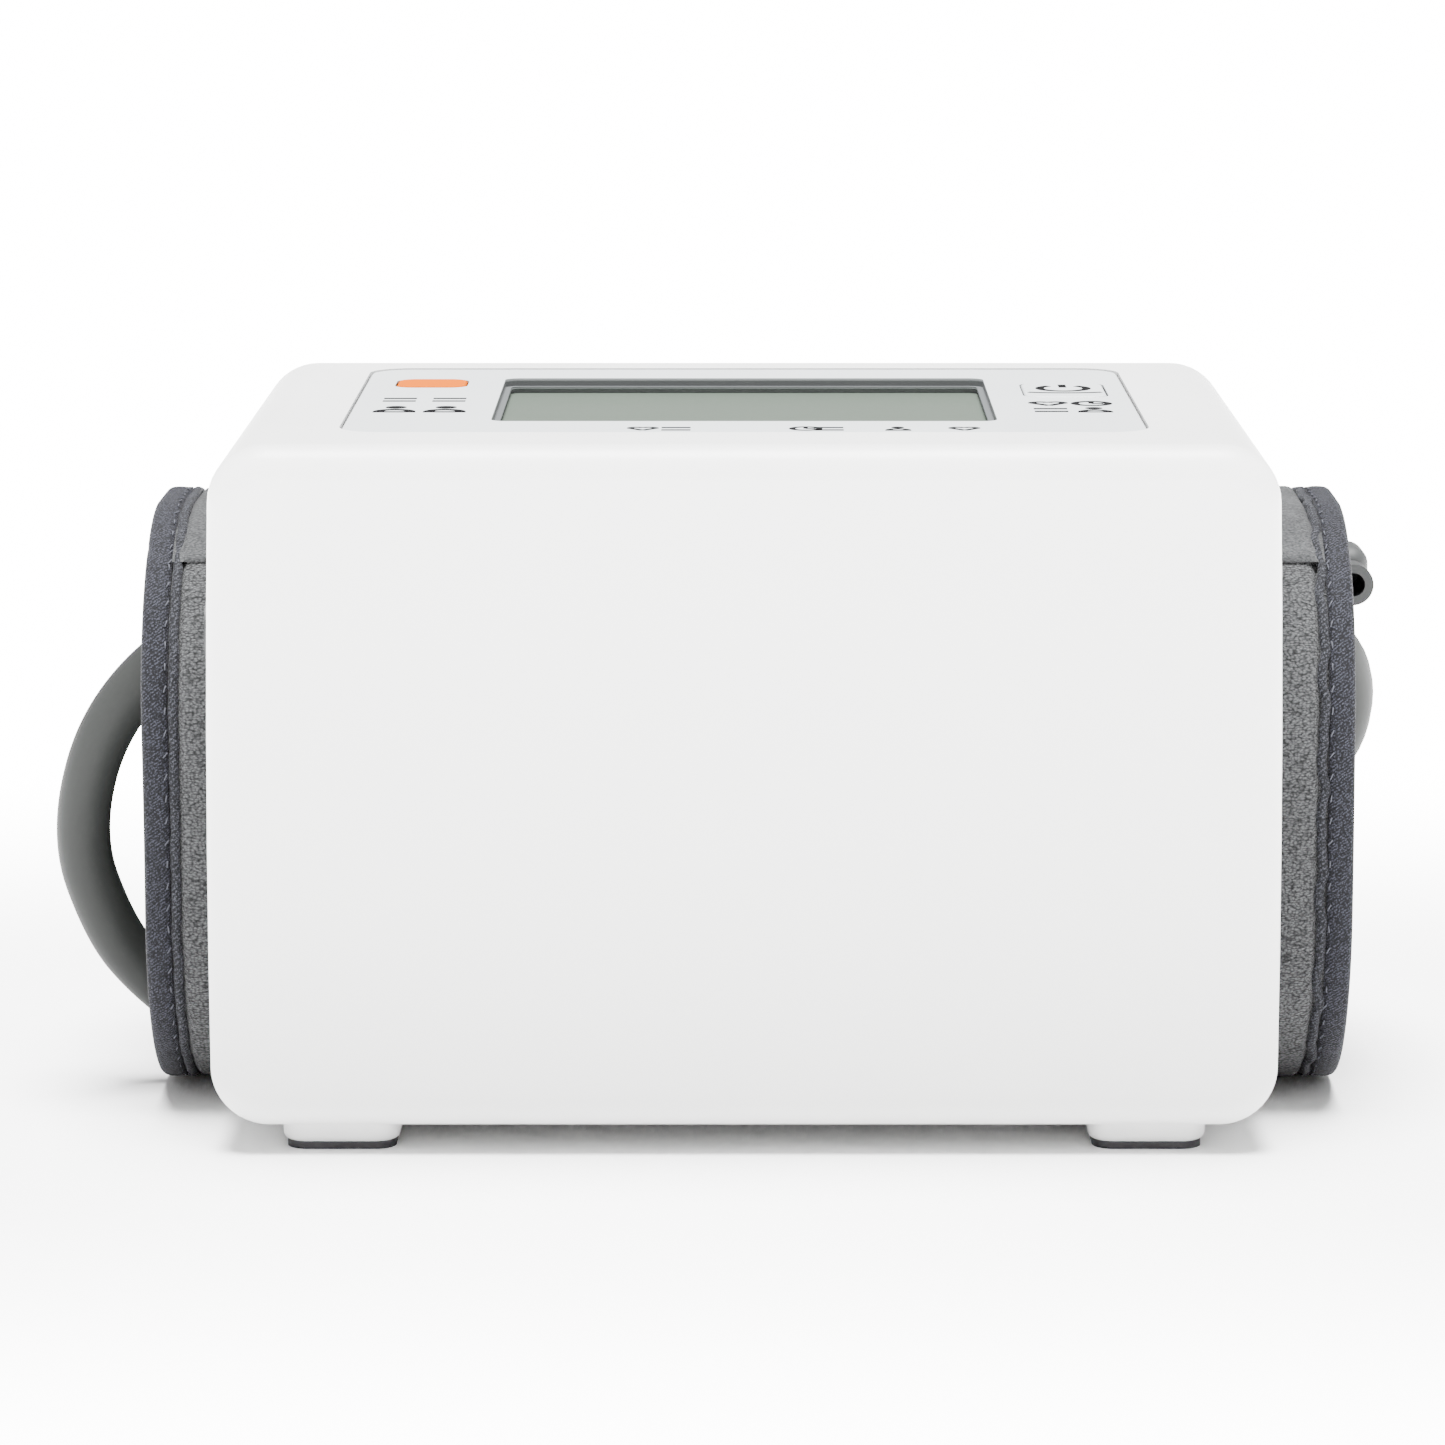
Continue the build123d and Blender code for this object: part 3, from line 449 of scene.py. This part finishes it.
def sewing_thread(name, color):
    finish = Finish(name, color, 0.7)
    finish.put("Specular IOR Level", 0.2)
    fibre = finish.noise(finish.place(), 5200.0, detail=3.0)
    finish.put("Base Color", finish.blend(fibre, tint(color, 0.7), tint(color, 1.3)))
    finish.bump(fibre, 0.03 * MM, 0.6)
    return finish.material


def hose_rubber(color):
    """Extruded hose: satin, with faint drawing lines and a touch of bloom."""
    finish = Finish("hose_rubber", color, 0.6)
    finish.put("Specular IOR Level", 0.12)
    where = finish.place()
    bloom = finish.noise(where, 120.0, detail=4.0)
    fine = finish.noise(where, 3000.0, detail=2.0)
    finish.put("Base Color", finish.blend(bloom, tint(color, 0.92), tint(color, 1.08)))
    finish.put("Roughness", 0.54 + bloom * 0.1)
    finish.bump(fine + bloom, 0.008 * MM, 0.4)
    return finish.material


def printed_ink(color):
    finish = Finish("printed_ink", color, 0.6)
    finish.put("Specular IOR Level", 0.05)
    specks = finish.noise(finish.place(), 2600.0, detail=2.0)
    finish.put("Base Color", finish.blend(specks, tint(color, 0.8), tint(color, 1.4)))
    return finish.material


def dress(node, material):
    """Give every material slot of a fixed node this finish."""
    for material_slot in frame["nodes"][node].material_slots:
        material_slot.link = "OBJECT"
        material_slot.material = material


# ---------------------------------------------------------------- meshes
def new_piece(name, verts, faces, material, uvs=None):
    """A smooth mesh object, normals outwards. uvs holds one (u, v) for each vertex."""
    mesh = bpy.data.meshes.new(name)
    mesh.from_pydata(verts, [], faces)
    if uvs:
        layer = mesh.uv_layers.new(name="surface")
        for loop in mesh.loops:
            layer.data[loop.index].uv = uvs[loop.vertex_index]
    work = bmesh.new()
    work.from_mesh(mesh)
    bmesh.ops.recalc_face_normals(work, faces=work.faces)
    work.to_mesh(mesh)
    work.free()
    mesh.polygons.foreach_set("use_smooth", [True] * len(mesh.polygons))
    mesh.materials.append(material)
    piece = bpy.data.objects.new(name, mesh)
    bpy.context.collection.objects.link(piece)
    return piece


def baked(source, name, material=None):
    """The evaluated shape of an object as a plain mesh object, and the source gone."""
    bpy.context.view_layer.update()
    depsgraph = bpy.context.evaluated_depsgraph_get()
    mesh = bpy.data.meshes.new_from_object(source.evaluated_get(depsgraph))
    mesh.name = name
    if material:
        mesh.materials.clear()
        mesh.materials.append(material)
    bpy.data.objects.remove(source)
    piece = bpy.data.objects.new(name, mesh)
    bpy.context.collection.objects.link(piece)
    return piece


def smoothstep(value):
    value = min(1.0, max(0.0, value))
    return value * value * (3 - 2 * value)


class Roll:
    """The rolled cuff's path: a rounded rectangle across Y and Z, wound inwards from the flap's end."""

    def __init__(self, cuff):
        self.corner = cuff.corner
        self.pitch = cuff.pitch
        self.thickness = cuff.thickness
        self.turns = cuff.turns
        self.tuck = cuff.tuck
        self.flat_y = (ROLL_HIGH[1] - ROLL_LOW[1]) / 2 - cuff.corner
        self.mid_z = (ROLL_LOW[2] + ROLL_HIGH[2]) / 2
        self.flat_z = (ROLL_HIGH[2] - ROLL_LOW[2]) / 2 - cuff.corner
        middle = cuff.corner - cuff.thickness
        self.arc = middle * math.pi / 2
        self.start = middle * cuff.flap_angle
        self.girth = 4 * self.arc + 4 * self.flat_y + 4 * self.flat_z
        self.length = self.girth * cuff.turns

    def spine(self, distance):
        """A point of the roll's inner rectangle and the way out from it, at a distance along the cuff."""
        run = (self.start + distance) % self.girth
        corners = [(-1, 1, math.pi), (1, 1, math.pi / 2), (1, -1, 0.0), (-1, -1, -math.pi / 2)]
        straights = [2 * self.flat_y, 2 * self.flat_z, 2 * self.flat_y, 2 * self.flat_z]
        for (side, up, angle), straight in zip(corners, straights):
            corner = Vector((0, side * self.flat_y, self.mid_z + up * self.flat_z))
            if run <= self.arc:
                turned = angle - run / self.arc * math.pi / 2
                return corner, Vector((0, math.cos(turned), math.sin(turned)))
            run -= self.arc
            last = angle - math.pi / 2
            outward = Vector((0, math.cos(last), math.sin(last)))
            if run <= straight:
                forward = Vector((0, outward.z, -outward.y))
                return corner + forward * run, outward
            run -= straight
        return self.spine(distance - self.girth)

    def inset(self, distance, crease):
        """How far the cuff's outer face lies inside the roll: it sinks in under the flap after one turn."""
        return self.pitch * smoothstep((distance - self.girth + crease) / (self.tuck + crease))

    def fullness(self, distance, lip):
        """The cuff's thickness: a share of it, lip, at the flap's edge, and pressed thin at the inner end."""
        begin = smoothstep(distance / self.tuck)
        finish = smoothstep((self.length - distance) / PRESSED_LENGTH)
        return self.thickness * (lip + (1 - lip) * begin) * (0.3 + 0.7 * finish)

    def point(self, distance, x, depth, crease=0.0):
        spine, outward = self.spine(distance)
        place = spine + outward * (self.corner - self.inset(distance, crease) - depth)
        return Vector((x, place.y, place.z))

    def band(self, name, profile, material, sway, crease=0.0, lip=1.0, step=1.1 * MM):
        """A closed band wound along the roll. profile holds an (x, share of the thickness) for each point.

        With lip at 1 the band starts inside its own next turn, so its outer face shows no end.
        """
        rings = round(self.length / step)
        verts = []
        uvs = []
        girth = 0.0
        across = []
        for here, after in zip(profile, profile[1:] + profile[:1]):
            across.append(girth)
            girth += math.hypot(after[0] - here[0], (after[1] - here[1]) * self.thickness)
        middle = sum(x for x, _ in profile) / len(profile)
        for ring in range(rings + 1):
            distance = self.length * ring / rings
            thick = self.fullness(distance, lip)
            hidden = 0.12 * (1 - smoothstep(distance / (4 * MM))) if lip == 1.0 else 0.0
            for index, (x, share) in enumerate(profile):
                x += (middle - x) * hidden
                share += (0.5 - share) * hidden
                aside, down = sway(distance, x, share)
                verts.append(self.point(distance, x + aside, share * thick + down, crease))
                uvs.append((distance, across[index]))
        count = len(profile)
        faces = [tuple(range(count)), tuple(rings * count + index for index in range(count))]
        for ring in range(rings):
            for index in range(count):
                after = (index + 1) % count
                faces.append((ring * count + index, ring * count + after,
                              (ring + 1) * count + after, (ring + 1) * count + index))
        return new_piece(name, verts, faces, material, uvs)


PAD_STEPS = (0, 0.9, 0.95, 1.05, 1.2, 1.45, 1.8, 2.3, 3.0, 4.0, 5.5, 8.0, 12.0, 20.0, 32.0, 48.0)


def pad_profile(left, right, web, edge):
    """The padded cuff's section: two long faces, rounded off towards a thin web under the welt."""
    columns = [left + step * MM for step in PAD_STEPS] + [right - step * MM for step in reversed(PAD_STEPS)]
    top = []
    for x in columns:
        near = min(x - left, right - x) - web
        top.append((x, 0.42 * (1 - math.sqrt(1 - (1 - min(1.0, max(0.0, near / edge))) ** 2))))
    return top + [(x, 1 - depth) for x, depth in reversed(top)]


def oval_profile(centre, half_width, points, low=0.0, high=1.0, power=2.6):
    """A rounded section, fuller than an ellipse: half_width to each side, from low to high in depth."""
    outline = []
    for index in range(points):
        angle = 2 * math.pi * index / points
        x = math.copysign(abs(math.cos(angle)) ** (2 / power), math.cos(angle))
        y = math.copysign(abs(math.sin(angle)) ** (2 / power), math.sin(angle))
        outline.append((centre + x * half_width, (low + high) / 2 - y * (high - low) / 2))
    return outline


# ---------------------------------------------------------------- geometry nodes
def stitch_tree():
    """Stitches along a curve, each laid a little differently across it."""
    tree = bpy.data.node_groups.new("Stitches", "GeometryNodeTree")
    face = tree.interface
    face.new_socket("Geometry", in_out="INPUT", socket_type="NodeSocketGeometry")
    for name, value in (("Spacing", 2.7 * MM), ("Thread radius", 0.12 * MM), ("Stitch length", 1.2 * MM),
                        ("Slant", 0.45), ("Unevenness", 0.2)):
        face.new_socket(name, in_out="INPUT", socket_type="NodeSocketFloat").default_value = value
    face.new_socket("Thread", in_out="INPUT", socket_type="NodeSocketMaterial")
    face.new_socket("Geometry", in_out="OUTPUT", socket_type="NodeSocketGeometry")
    nodes = tree.nodes
    links = tree.links

    def add(kind, **settings):
        node = nodes.new(kind)
        for name, value in settings.items():
            setattr(node, name, value)
        return node

    entry = add("NodeGroupInput")
    leave = add("NodeGroupOutput")
    resample = add("GeometryNodeResampleCurve", mode="LENGTH")
    capture = add("GeometryNodeInputTangent")
    uneven = add("FunctionNodeRandomValue", data_type="FLOAT")
    uneven.inputs[2].default_value = -1.0
    uneven.inputs["Seed"].default_value = 7
    slant = add("ShaderNodeMath", operation="MULTIPLY_ADD")
    sideways = add("ShaderNodeCombineXYZ")
    direction = add("ShaderNodeVectorMath", operation="ADD")
    align = add("FunctionNodeAlignRotationToVector", axis="Z")
    thread = add("GeometryNodeMeshCylinder")
    thread.inputs["Vertices"].default_value = 7
    soften = add("GeometryNodeSetShadeSmooth")
    instance = add("GeometryNodeInstanceOnPoints")
    realize = add("GeometryNodeRealizeInstances")
    finish = add("GeometryNodeSetMaterial")

    links.new(entry.outputs["Geometry"], resample.inputs["Curve"])
    links.new(entry.outputs["Spacing"], resample.inputs["Length"])
    links.new(uneven.outputs[1], slant.inputs[0])
    links.new(entry.outputs["Unevenness"], slant.inputs[1])
    links.new(entry.outputs["Slant"], slant.inputs[2])
    links.new(slant.outputs[0], sideways.inputs["X"])
    links.new(capture.outputs[0], direction.inputs[0])
    links.new(sideways.outputs[0], direction.inputs[1])
    links.new(direction.outputs[0], align.inputs["Vector"])
    links.new(entry.outputs["Thread radius"], thread.inputs["Radius"])
    links.new(entry.outputs["Stitch length"], thread.inputs["Depth"])
    links.new(resample.outputs[0], instance.inputs["Points"])
    links.new(thread.outputs["Mesh"], soften.inputs[0])
    links.new(soften.outputs[0], instance.inputs["Instance"])
    links.new(align.outputs[0], instance.inputs["Rotation"])
    links.new(instance.outputs[0], realize.inputs[0])
    links.new(realize.outputs[0], finish.inputs["Geometry"])
    links.new(entry.outputs["Thread"], finish.inputs["Material"])
    links.new(finish.outputs[0], leave.inputs[0])
    return tree


def grow(name, source, tree, values):
    """Run a geometry tree on an object with these named inputs and keep the result as a plain mesh."""
    modifier = source.modifiers.new(name, "NODES")
    modifier.node_group = tree
    for item in tree.interface.items_tree:
        if item.in_out == "INPUT" and item.name in values:
            modifier[item.identifier] = values[item.name]
    return baked(source, name)


def polyline(name, points):
    """A curve object of straight runs."""
    curve = bpy.data.curves.new(name, "CURVE")
    curve.dimensions = "3D"
    spline = curve.splines.new("POLY")
    spline.points.add(len(points) - 1)
    for target, point in zip(spline.points, points):
        target.co = (*point, 1.0)
    line = bpy.data.objects.new(name, curve)
    bpy.context.collection.objects.link(line)
    return line


# ---------------------------------------------------------------- printed icons
INK_HEIGHT = 0.03 * MM


class Print:
    """Flat printed marks on a level face: bars, rings and filled outlines, in millimetres."""

    def __init__(self, top):
        self.low = top - INK_HEIGHT
        self.high = top + INK_HEIGHT
        self.verts = []
        self.faces = []

    def outline(self, points):
        """A filled shape, given anticlockwise."""
        base = len(self.verts)
        count = len(points)
        for level in (self.low, self.high):
            self.verts += [(x * MM, y * MM, level) for x, y in points]
        self.faces.append(tuple(base + count + index for index in range(count)))
        self.faces.append(tuple(base + index for index in reversed(range(count))))
        for index in range(count):
            after = (index + 1) % count
            self.faces.append((base + index, base + after, base + count + after, base + count + index))

    def bar(self, start, end, width=0.6):
        along = Vector(end) - Vector(start)
        side = Vector((-along.y, along.x)).normalized() * width / 2
        start, end = Vector(start), Vector(end)
        self.outline([tuple(start - side), tuple(end - side), tuple(end + side), tuple(start + side)])

    def arc(self, centre, radius, first, last, width=0.45):
        """A ring, or a part of one between two angles in degrees."""
        steps = max(6, round(abs(last - first) / 12))
        angles = [math.radians(first + (last - first) * step / steps) for step in range(steps + 1)]
        for a, b in zip(angles, angles[1:]):
            inner, outer = radius - width / 2, radius + width / 2
            self.outline([(centre[0] + inner * math.cos(a), centre[1] + inner * math.sin(a)),
                          (centre[0] + outer * math.cos(a), centre[1] + outer * math.sin(a)),
                          (centre[0] + outer * math.cos(b), centre[1] + outer * math.sin(b)),
                          (centre[0] + inner * math.cos(b), centre[1] + inner * math.sin(b))])

    def disc(self, centre, radius):
        points = [(centre[0] + radius * math.cos(math.radians(15 * step)),
                   centre[1] + radius * math.sin(math.radians(15 * step))) for step in range(24)]
        self.outline(points)

    def piece(self, name, body):
        marks = new_piece(name, self.verts, self.faces, bpy.data.materials["printed_ink"])
        marks.data.polygons.foreach_set("use_smooth", [False] * len(marks.data.polygons))
        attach(marks, body)
        return marks


def person_icon(marks, x, y, size):
    marks.disc((x, y + size * 0.78), size * 0.2)
    marks.arc((x, y + size * 0.12), size * 0.3, 0, 180, size * 0.2)
    marks.bar((x - size * 0.4, y + size * 0.06), (x + size * 0.4, y + size * 0.06), size * 0.16)


def list_icon(marks, x, y, size):
    for row in range(2):
        level = y + size * (0.15 + 0.6 * row)
        marks.bar((x - size * 0.45, level), (x + size * 0.45, level), size * 0.26)


def clock_icon(marks, x, y, size):
    centre = (x, y + size / 2)
    marks.arc(centre, size * 0.42, 0, 360, size * 0.2)
    marks.bar(centre, (x, y + size * 0.8), size * 0.14)
    marks.bar(centre, (x + size * 0.3, y + size * 0.5), size * 0.16)


def heart_icon(marks, x, y, size):
    marks.arc((x - size * 0.2, y + size * 0.62), size * 0.2, 20, 200, size * 0.2)
    marks.arc((x + size * 0.2, y + size * 0.62), size * 0.2, -20, 160, size * 0.2)
    marks.bar((x - size * 0.38, y + size * 0.56), (x, y + size * 0.08), size * 0.2)
    marks.bar((x + size * 0.38, y + size * 0.56), (x, y + size * 0.08), size * 0.2)


# ---------------------------------------------------------------- operators
class MONITOR_OT_cuff(bpy.types.Operator):
    """Wind the padded cuff into its roll, with its bound edges and welts"""
    bl_idname = "monitor.cuff"
    bl_label = "Rolled cuff"

    def execute(self, context):
        cuff = context.scene.monitor_cuff
        roll = Roll(cuff)
        pile = looped_pile(cuff.pile, BRUSHED_LENGTH)
        tape = woven_tape("bound_edge", cuff.tape)
        welt = woven_tape("welt", cuff.welt, thread=0.6, grain=0.22, depth=0.08)

        def quilted(distance, x, share):
            """The pad's faces rise and fall a little, and its outer face never leaves the roll."""
            soft = 0.08 * MM * (1 + math.sin(distance * 290 + math.sin(x * 90)) * math.cos(x * 210 + 1.3))
            return 0.0, soft if share < 0.5 else -soft

        section = pad_profile(LEFT_END + TAPE_WIDTH, RIGHT_END - TAPE_WIDTH, WEB_WIDTH, PAD_ROUNDING)
        pad = roll.band("cuff_pad", section, pile, quilted, crease=4 * MM, lip=0.2)
        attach(pad, "cuff")
        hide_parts("cuff_cover", "cuff_bladder", "cuff_lining")

        for side, end, name in ((-1, LEFT_END, "left"), (1, RIGHT_END, "right")):

            def puckered(distance, x, share, side=side, end=end):
                """The tape dips at its stitches near the inner edge, and its outer edge wanders."""
                inner = min(1.0, abs(end - x) / TAPE_WIDTH)
                dip = 0.13 * MM * (1 + math.sin(distance * 2 * math.pi / cuff.stitch + side)) * inner ** 4
                slow = 0.06 * MM * (1 + math.sin(distance * 95 + side * 2) * math.sin(distance * 41))
                return side * -slow, (dip + 0.5 * slow) if share < 0.5 else 0.0

            tape_middle = end - side * TAPE_WIDTH / 2
            binding = roll.band("cuff_binding_" + name + "_tape",
                                oval_profile(tape_middle, TAPE_WIDTH / 2, 28, power=2.9), tape, puckered)
            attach(binding, "cuff")
            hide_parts("cuff_binding_" + name)

            def wandering(distance, x, share, side=side):
                """The welt is pulled this way and that by its stitches, more on the right."""
                pull = (0.06 if side < 0 else 0.20) * MM
                sway = pull * math.sin(distance * 2 * math.pi / (9.1 * MM) + 2 * side)
                sway += 0.7 * pull * math.sin(distance * 2 * math.pi / (5.3 * MM))
                sway += 0.05 * MM * math.sin(distance * 2 * math.pi / cuff.stitch)
                return sway, 0.04 * MM * math.sin(distance * 2 * math.pi / (4.7 * MM))

            welt_middle = end - side * (TAPE_WIDTH + WELT_OFFSET)
            section = oval_profile(welt_middle, WELT_HALF_WIDTH, 14, low=0.03, high=0.66, power=2)
            edge = roll.band("cuff_welt_" + name, section, welt, wandering, step=0.7 * MM)
            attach(edge, "cuff")
        return {"FINISHED"}


class MONITOR_OT_stitches(bpy.types.Operator):
    """Sew the bound edges on: a slanting stitch every few millimetres beside each welt"""
    bl_idname = "monitor.stitches"
    bl_label = "Stitches"

    def execute(self, context):
        cuff = context.scene.monitor_cuff
        roll = Roll(cuff)
        tree = stitch_tree()
        thread = sewing_thread("binding_thread", tint(cuff.welt, 3.0))
        inside = TAPE_WIDTH - STITCH_INSET
        samples = 420
        for side, end, name in ((-1, LEFT_END, "left"), (1, RIGHT_END, "right")):
            x = end - side * inside
            length = roll.girth * 1.02
            points = [roll.point(length * step / samples, x, STITCH_DEPTH) for step in range(samples + 1)]
            line = polyline("stitch_line", points)
            seam = grow("cuff_stitches_" + name, line, tree,
                        {"Spacing": cuff.stitch, "Thread radius": 0.08 * MM, "Stitch length": 0.85 * MM,
                         "Slant": 0.35, "Unevenness": 0.5, "Thread": thread})
            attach(seam, "cuff")
        return {"FINISHED"}


class MONITOR_OT_hose(bpy.types.Operator):
    """Lay the air hose through the roll, from the cuff's port to its plug"""
    bl_idname = "monitor.hose"
    bl_label = "Air hose"

    def execute(self, context):
        hose = context.scene.monitor_hose
        curve = bpy.data.curves.new("air_hose", "CURVE")
        curve.dimensions = "3D"
        curve.resolution_u = 16
        curve.bevel_depth = hose.diameter / 2
        curve.bevel_resolution = 8
        curve.use_fill_caps = True
        spline = curve.splines.new("NURBS")
        spline.points.add(len(HOSE_ROUTE) - 1)
        for target, point in zip(spline.points, HOSE_ROUTE):
            target.co = (*point, 1.0)
        spline.order_u = 3
        spline.use_endpoint_u = True
        curve.materials.append(hose_rubber(hose.color))
        line = bpy.data.objects.new("air_hose", curve)
        context.collection.objects.link(line)
        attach(line, "cuff")
        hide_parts("hose")
        return {"FINISHED"}


class MONITOR_OT_icons(bpy.types.Operator):
    """Print plain icons on the top panel and the start key"""
    bl_idname = "monitor.icons"
    bl_label = "Printed icons"

    def execute(self, context):
        printed_ink(context.scene.monitor_case.ink)
        memory_low, memory_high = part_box("memory_button")
        start_low, start_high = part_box("start_button")
        memory_x = (memory_low[0] + memory_high[0]) / 2 / MM
        start_x = (start_low[0] + start_high[0]) / 2 / MM
        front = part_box("control_panel")[0][1] / MM
        marks = Print(PANEL_TOP)
        for side in (-1, 1):
            list_icon(marks, memory_x + side * 3.1, -0.6, 4.6)
            person_icon(marks, memory_x + side * 3.1, -11.6, 6.6)
        heart_icon(marks, start_x - 2.7, -5.0, 5.0)
        clock_icon(marks, start_x + 2.7, -5.0, 5.0)
        list_icon(marks, start_x - 2.7, -11.4, 4.6)
        person_icon(marks, start_x + 2.7, -11.6, 5.4)
        low = front + 2.6
        for place, icon in ((-12.2, heart_icon), (-8.2, list_icon), (7.4, clock_icon), (10.2, list_icon),
                            (18.5, person_icon), (26.5, heart_icon)):
            icon(marks, place, low - 0.2, 3.9)
        marks.piece("panel_icons", "case")
        symbol = Print(start_high[2])
        middle = (start_x, (start_low[1] + start_high[1]) / 2 / MM + 1.2)
        symbol.arc(middle, 3.0, 125, 415, 1.1)
        symbol.bar((middle[0], middle[1] + 0.9), (middle[0], middle[1] + 4.0), 1.0)
        symbol.arc((start_x, middle[1] + 9.2), 14.2, 251, 289, 0.9)
        symbol.piece("start_symbol", "start_key")
        return {"FINISHED"}


class MONITOR_OT_finishes(bpy.types.Operator):
    """Give each fixed node the finish of its own material"""
    bl_idname = "monitor.finishes"
    bl_label = "Finishes"

    def execute(self, context):
        case = context.scene.monitor_case
        finishes = {
            "case_white": moulded_plastic("case_plastic", case.shell, 0.38),
            "chassis_white": moulded_plastic("chassis_plastic", tint(case.shell, 0.97), 0.5),
            # The panel's two dark colours are painted shade on its cut edges.
            "panel_grey": panel_plastic(case.panel, (0.006, 0.006, 0.007), (0.120, 0.124, 0.126)),
            "orange_key": moulded_plastic("key_plastic", case.key, 0.5, grain=0.25, shine=0.0),
            # The bezel's second, paler colour is painted light on its walls.
            "bezel_dark": bezel_plastic((0.075, 0.080, 0.082), (0.34, 0.355, 0.36)),
            "window_clear": clear_window(),
            "lcd_green_grey": blank_screen(case.screen),
            "backlight_white": moulded_plastic("light_guide", (0.70, 0.72, 0.70), 0.3),
            "strip_pink": moulded_rubber("connector_rubber", (0.70, 0.48, 0.44)),
            "board_green": circuit_laminate(),
            "chip_black": moulded_plastic("chip_epoxy", (0.025, 0.025, 0.027), 0.55),
            "metal_plate": drawn_metal("plated_steel", (0.62, 0.62, 0.60), 0.32),
            "screw_steel": drawn_metal("screw_steel", (0.50, 0.50, 0.50), 0.3),
            "brass_eccentric": drawn_metal("turned_brass", (0.78, 0.57, 0.28), 0.3),
            "pump_black": moulded_plastic("pump_plastic", (0.035, 0.036, 0.038), 0.45),
            "silicone_clear": moulded_rubber("silicone_tube", (0.72, 0.73, 0.72), 0.35),
            "nylon_white": moulded_plastic("tee_nylon", (0.80, 0.80, 0.77), 0.45),
            "cell_jacket": moulded_plastic("cell_jacket", (0.03, 0.10, 0.24), 0.25, coat=0.4),
            "foot_rubber": moulded_rubber("foot_rubber", (0.018, 0.018, 0.020), 0.6),
            "plug_grey": moulded_plastic("plug_plastic", (0.027, 0.0285, 0.0285), 0.6),
        }
        for part in frame["record"]["subparts"]:
            if part["material_slot"] in finishes:
                dress(part["node"], finishes[part["material_slot"]])
        return {"FINISHED"}


class MONITOR_OT_stage(bpy.types.Operator):
    """Set the pale floor, the soft light and the camera"""
    bl_idname = "monitor.stage"
    bl_label = "Stage"

    def execute(self, context):
        self.floor()
        self.lights(context)
        self.camera(context)
        return {"FINISHED"}

    def floor(self):
        """A wide sheet of white paper that glows with painted light, except close round the object."""
        verts = [(x * FLOOR_HALF, y * FLOOR_HALF, 0) for x, y in ((-1, -1), (1, -1), (1, 1), (-1, 1))]
        paper = Finish("studio_paper", (0.94, 0.94, 0.94), 0.95)
        where = paper.place()
        x, y, _ = paper.axes(where)
        beside = (x.math("ABSOLUTE", x) - UNLIT_HALF_WIDTH).above(0.0)
        before = (y.math("ABSOLUTE", y) - UNLIT_HALF_DEPTH).above(0.0)
        away = (beside * beside + before * before) ** 0.5
        glow = paper.ramp(away, GLOW_START, GLOW_FULL)
        tone = paper.noise(where, 6.0)
        paper.put("Base Color", paper.blend(tone, (0.94, 0.94, 0.94), (0.955, 0.955, 0.955)))
        paper.put("Specular IOR Level", 0.0)
        # Painted light: the paper's own glow, none close round the object and full further away.
        paper.put("Emission Color", paper.blend(glow, (0.0, 0.0, 0.0), (1.0, 1.0, 0.995)))
        paper.put("Emission Strength", 9.0)
        sheet = new_piece("studio_floor", verts, [(0, 1, 2, 3)], paper.material)

    def lights(self, context):
        world = bpy.data.worlds.new("studio")
        world.use_nodes = True
        world.node_tree.nodes["Background"].inputs["Color"].default_value = (1.0, 1.0, 1.0, 1.0)
        world.node_tree.nodes["Background"].inputs["Strength"].default_value = 0.7
        context.scene.world = world
        overhead = bpy.data.lights.new("overhead", "SUN")
        overhead.energy = 22.0
        overhead.angle = math.radians(32)
        holder = bpy.data.objects.new("overhead", overhead)
        holder.location = (0, 0, 2)
        context.collection.objects.link(holder)

    def camera(self, context):
        stage = context.scene.monitor_stage
        lens = bpy.data.cameras.new("camera")
        lens.sensor_width = 36.0
        lens.lens = stage.lens
        lens.shift_x = stage.shift
        holder = bpy.data.objects.new("camera", lens)
        holder.location = (0.0, -stage.distance, stage.height)
        holder.rotation_euler = (math.pi / 2 - stage.pitch, 0.0, 0.0)
        context.collection.objects.link(holder)
        context.scene.camera = holder


class MONITOR_PT_panel(bpy.types.Panel):
    """The monitor's pieces, each made by its own button"""
    bl_idname = "MONITOR_PT_panel"
    bl_label = "Blood pressure monitor"
    bl_space_type = "VIEW_3D"
    bl_region_type = "UI"
    bl_category = "Monitor"

    def draw(self, context):
        for group in ("monitor_cuff", "monitor_hose", "monitor_case", "monitor_stage"):
            settings = getattr(context.scene, group)
            for name in settings.bl_rna.properties.keys():
                if name not in ("rna_type", "name"):
                    self.layout.prop(settings, name)
        for operator in OPERATORS:
            self.layout.operator(operator.bl_idname)


OPERATORS = (MONITOR_OT_stage, MONITOR_OT_hose, MONITOR_OT_cuff, MONITOR_OT_stitches, MONITOR_OT_finishes,
             MONITOR_OT_icons)
GROUPS = {"monitor_cuff": CuffSettings, "monitor_hose": HoseSettings, "monitor_case": CaseSettings,
          "monitor_stage": StageSettings}


def register():
    for group in GROUPS.values():
        bpy.utils.register_class(group)
    for name, group in GROUPS.items():
        setattr(bpy.types.Scene, name, bpy.props.PointerProperty(type=group))
    for operator in OPERATORS:
        bpy.utils.register_class(operator)
    bpy.utils.register_class(MONITOR_PT_panel)


def unregister():
    bpy.utils.unregister_class(MONITOR_PT_panel)
    for operator in reversed(OPERATORS):
        bpy.utils.unregister_class(operator)
    for name in GROUPS:
        delattr(bpy.types.Scene, name)
    for group in GROUPS.values():
        bpy.utils.unregister_class(group)


def main():
    register()
    bpy.ops.monitor.stage()
    bpy.ops.monitor.hose()
    bpy.ops.monitor.cuff()
    bpy.ops.monitor.stitches()
    bpy.ops.monitor.finishes()
    bpy.ops.monitor.icons()


if __name__ == "__main__":
    main()
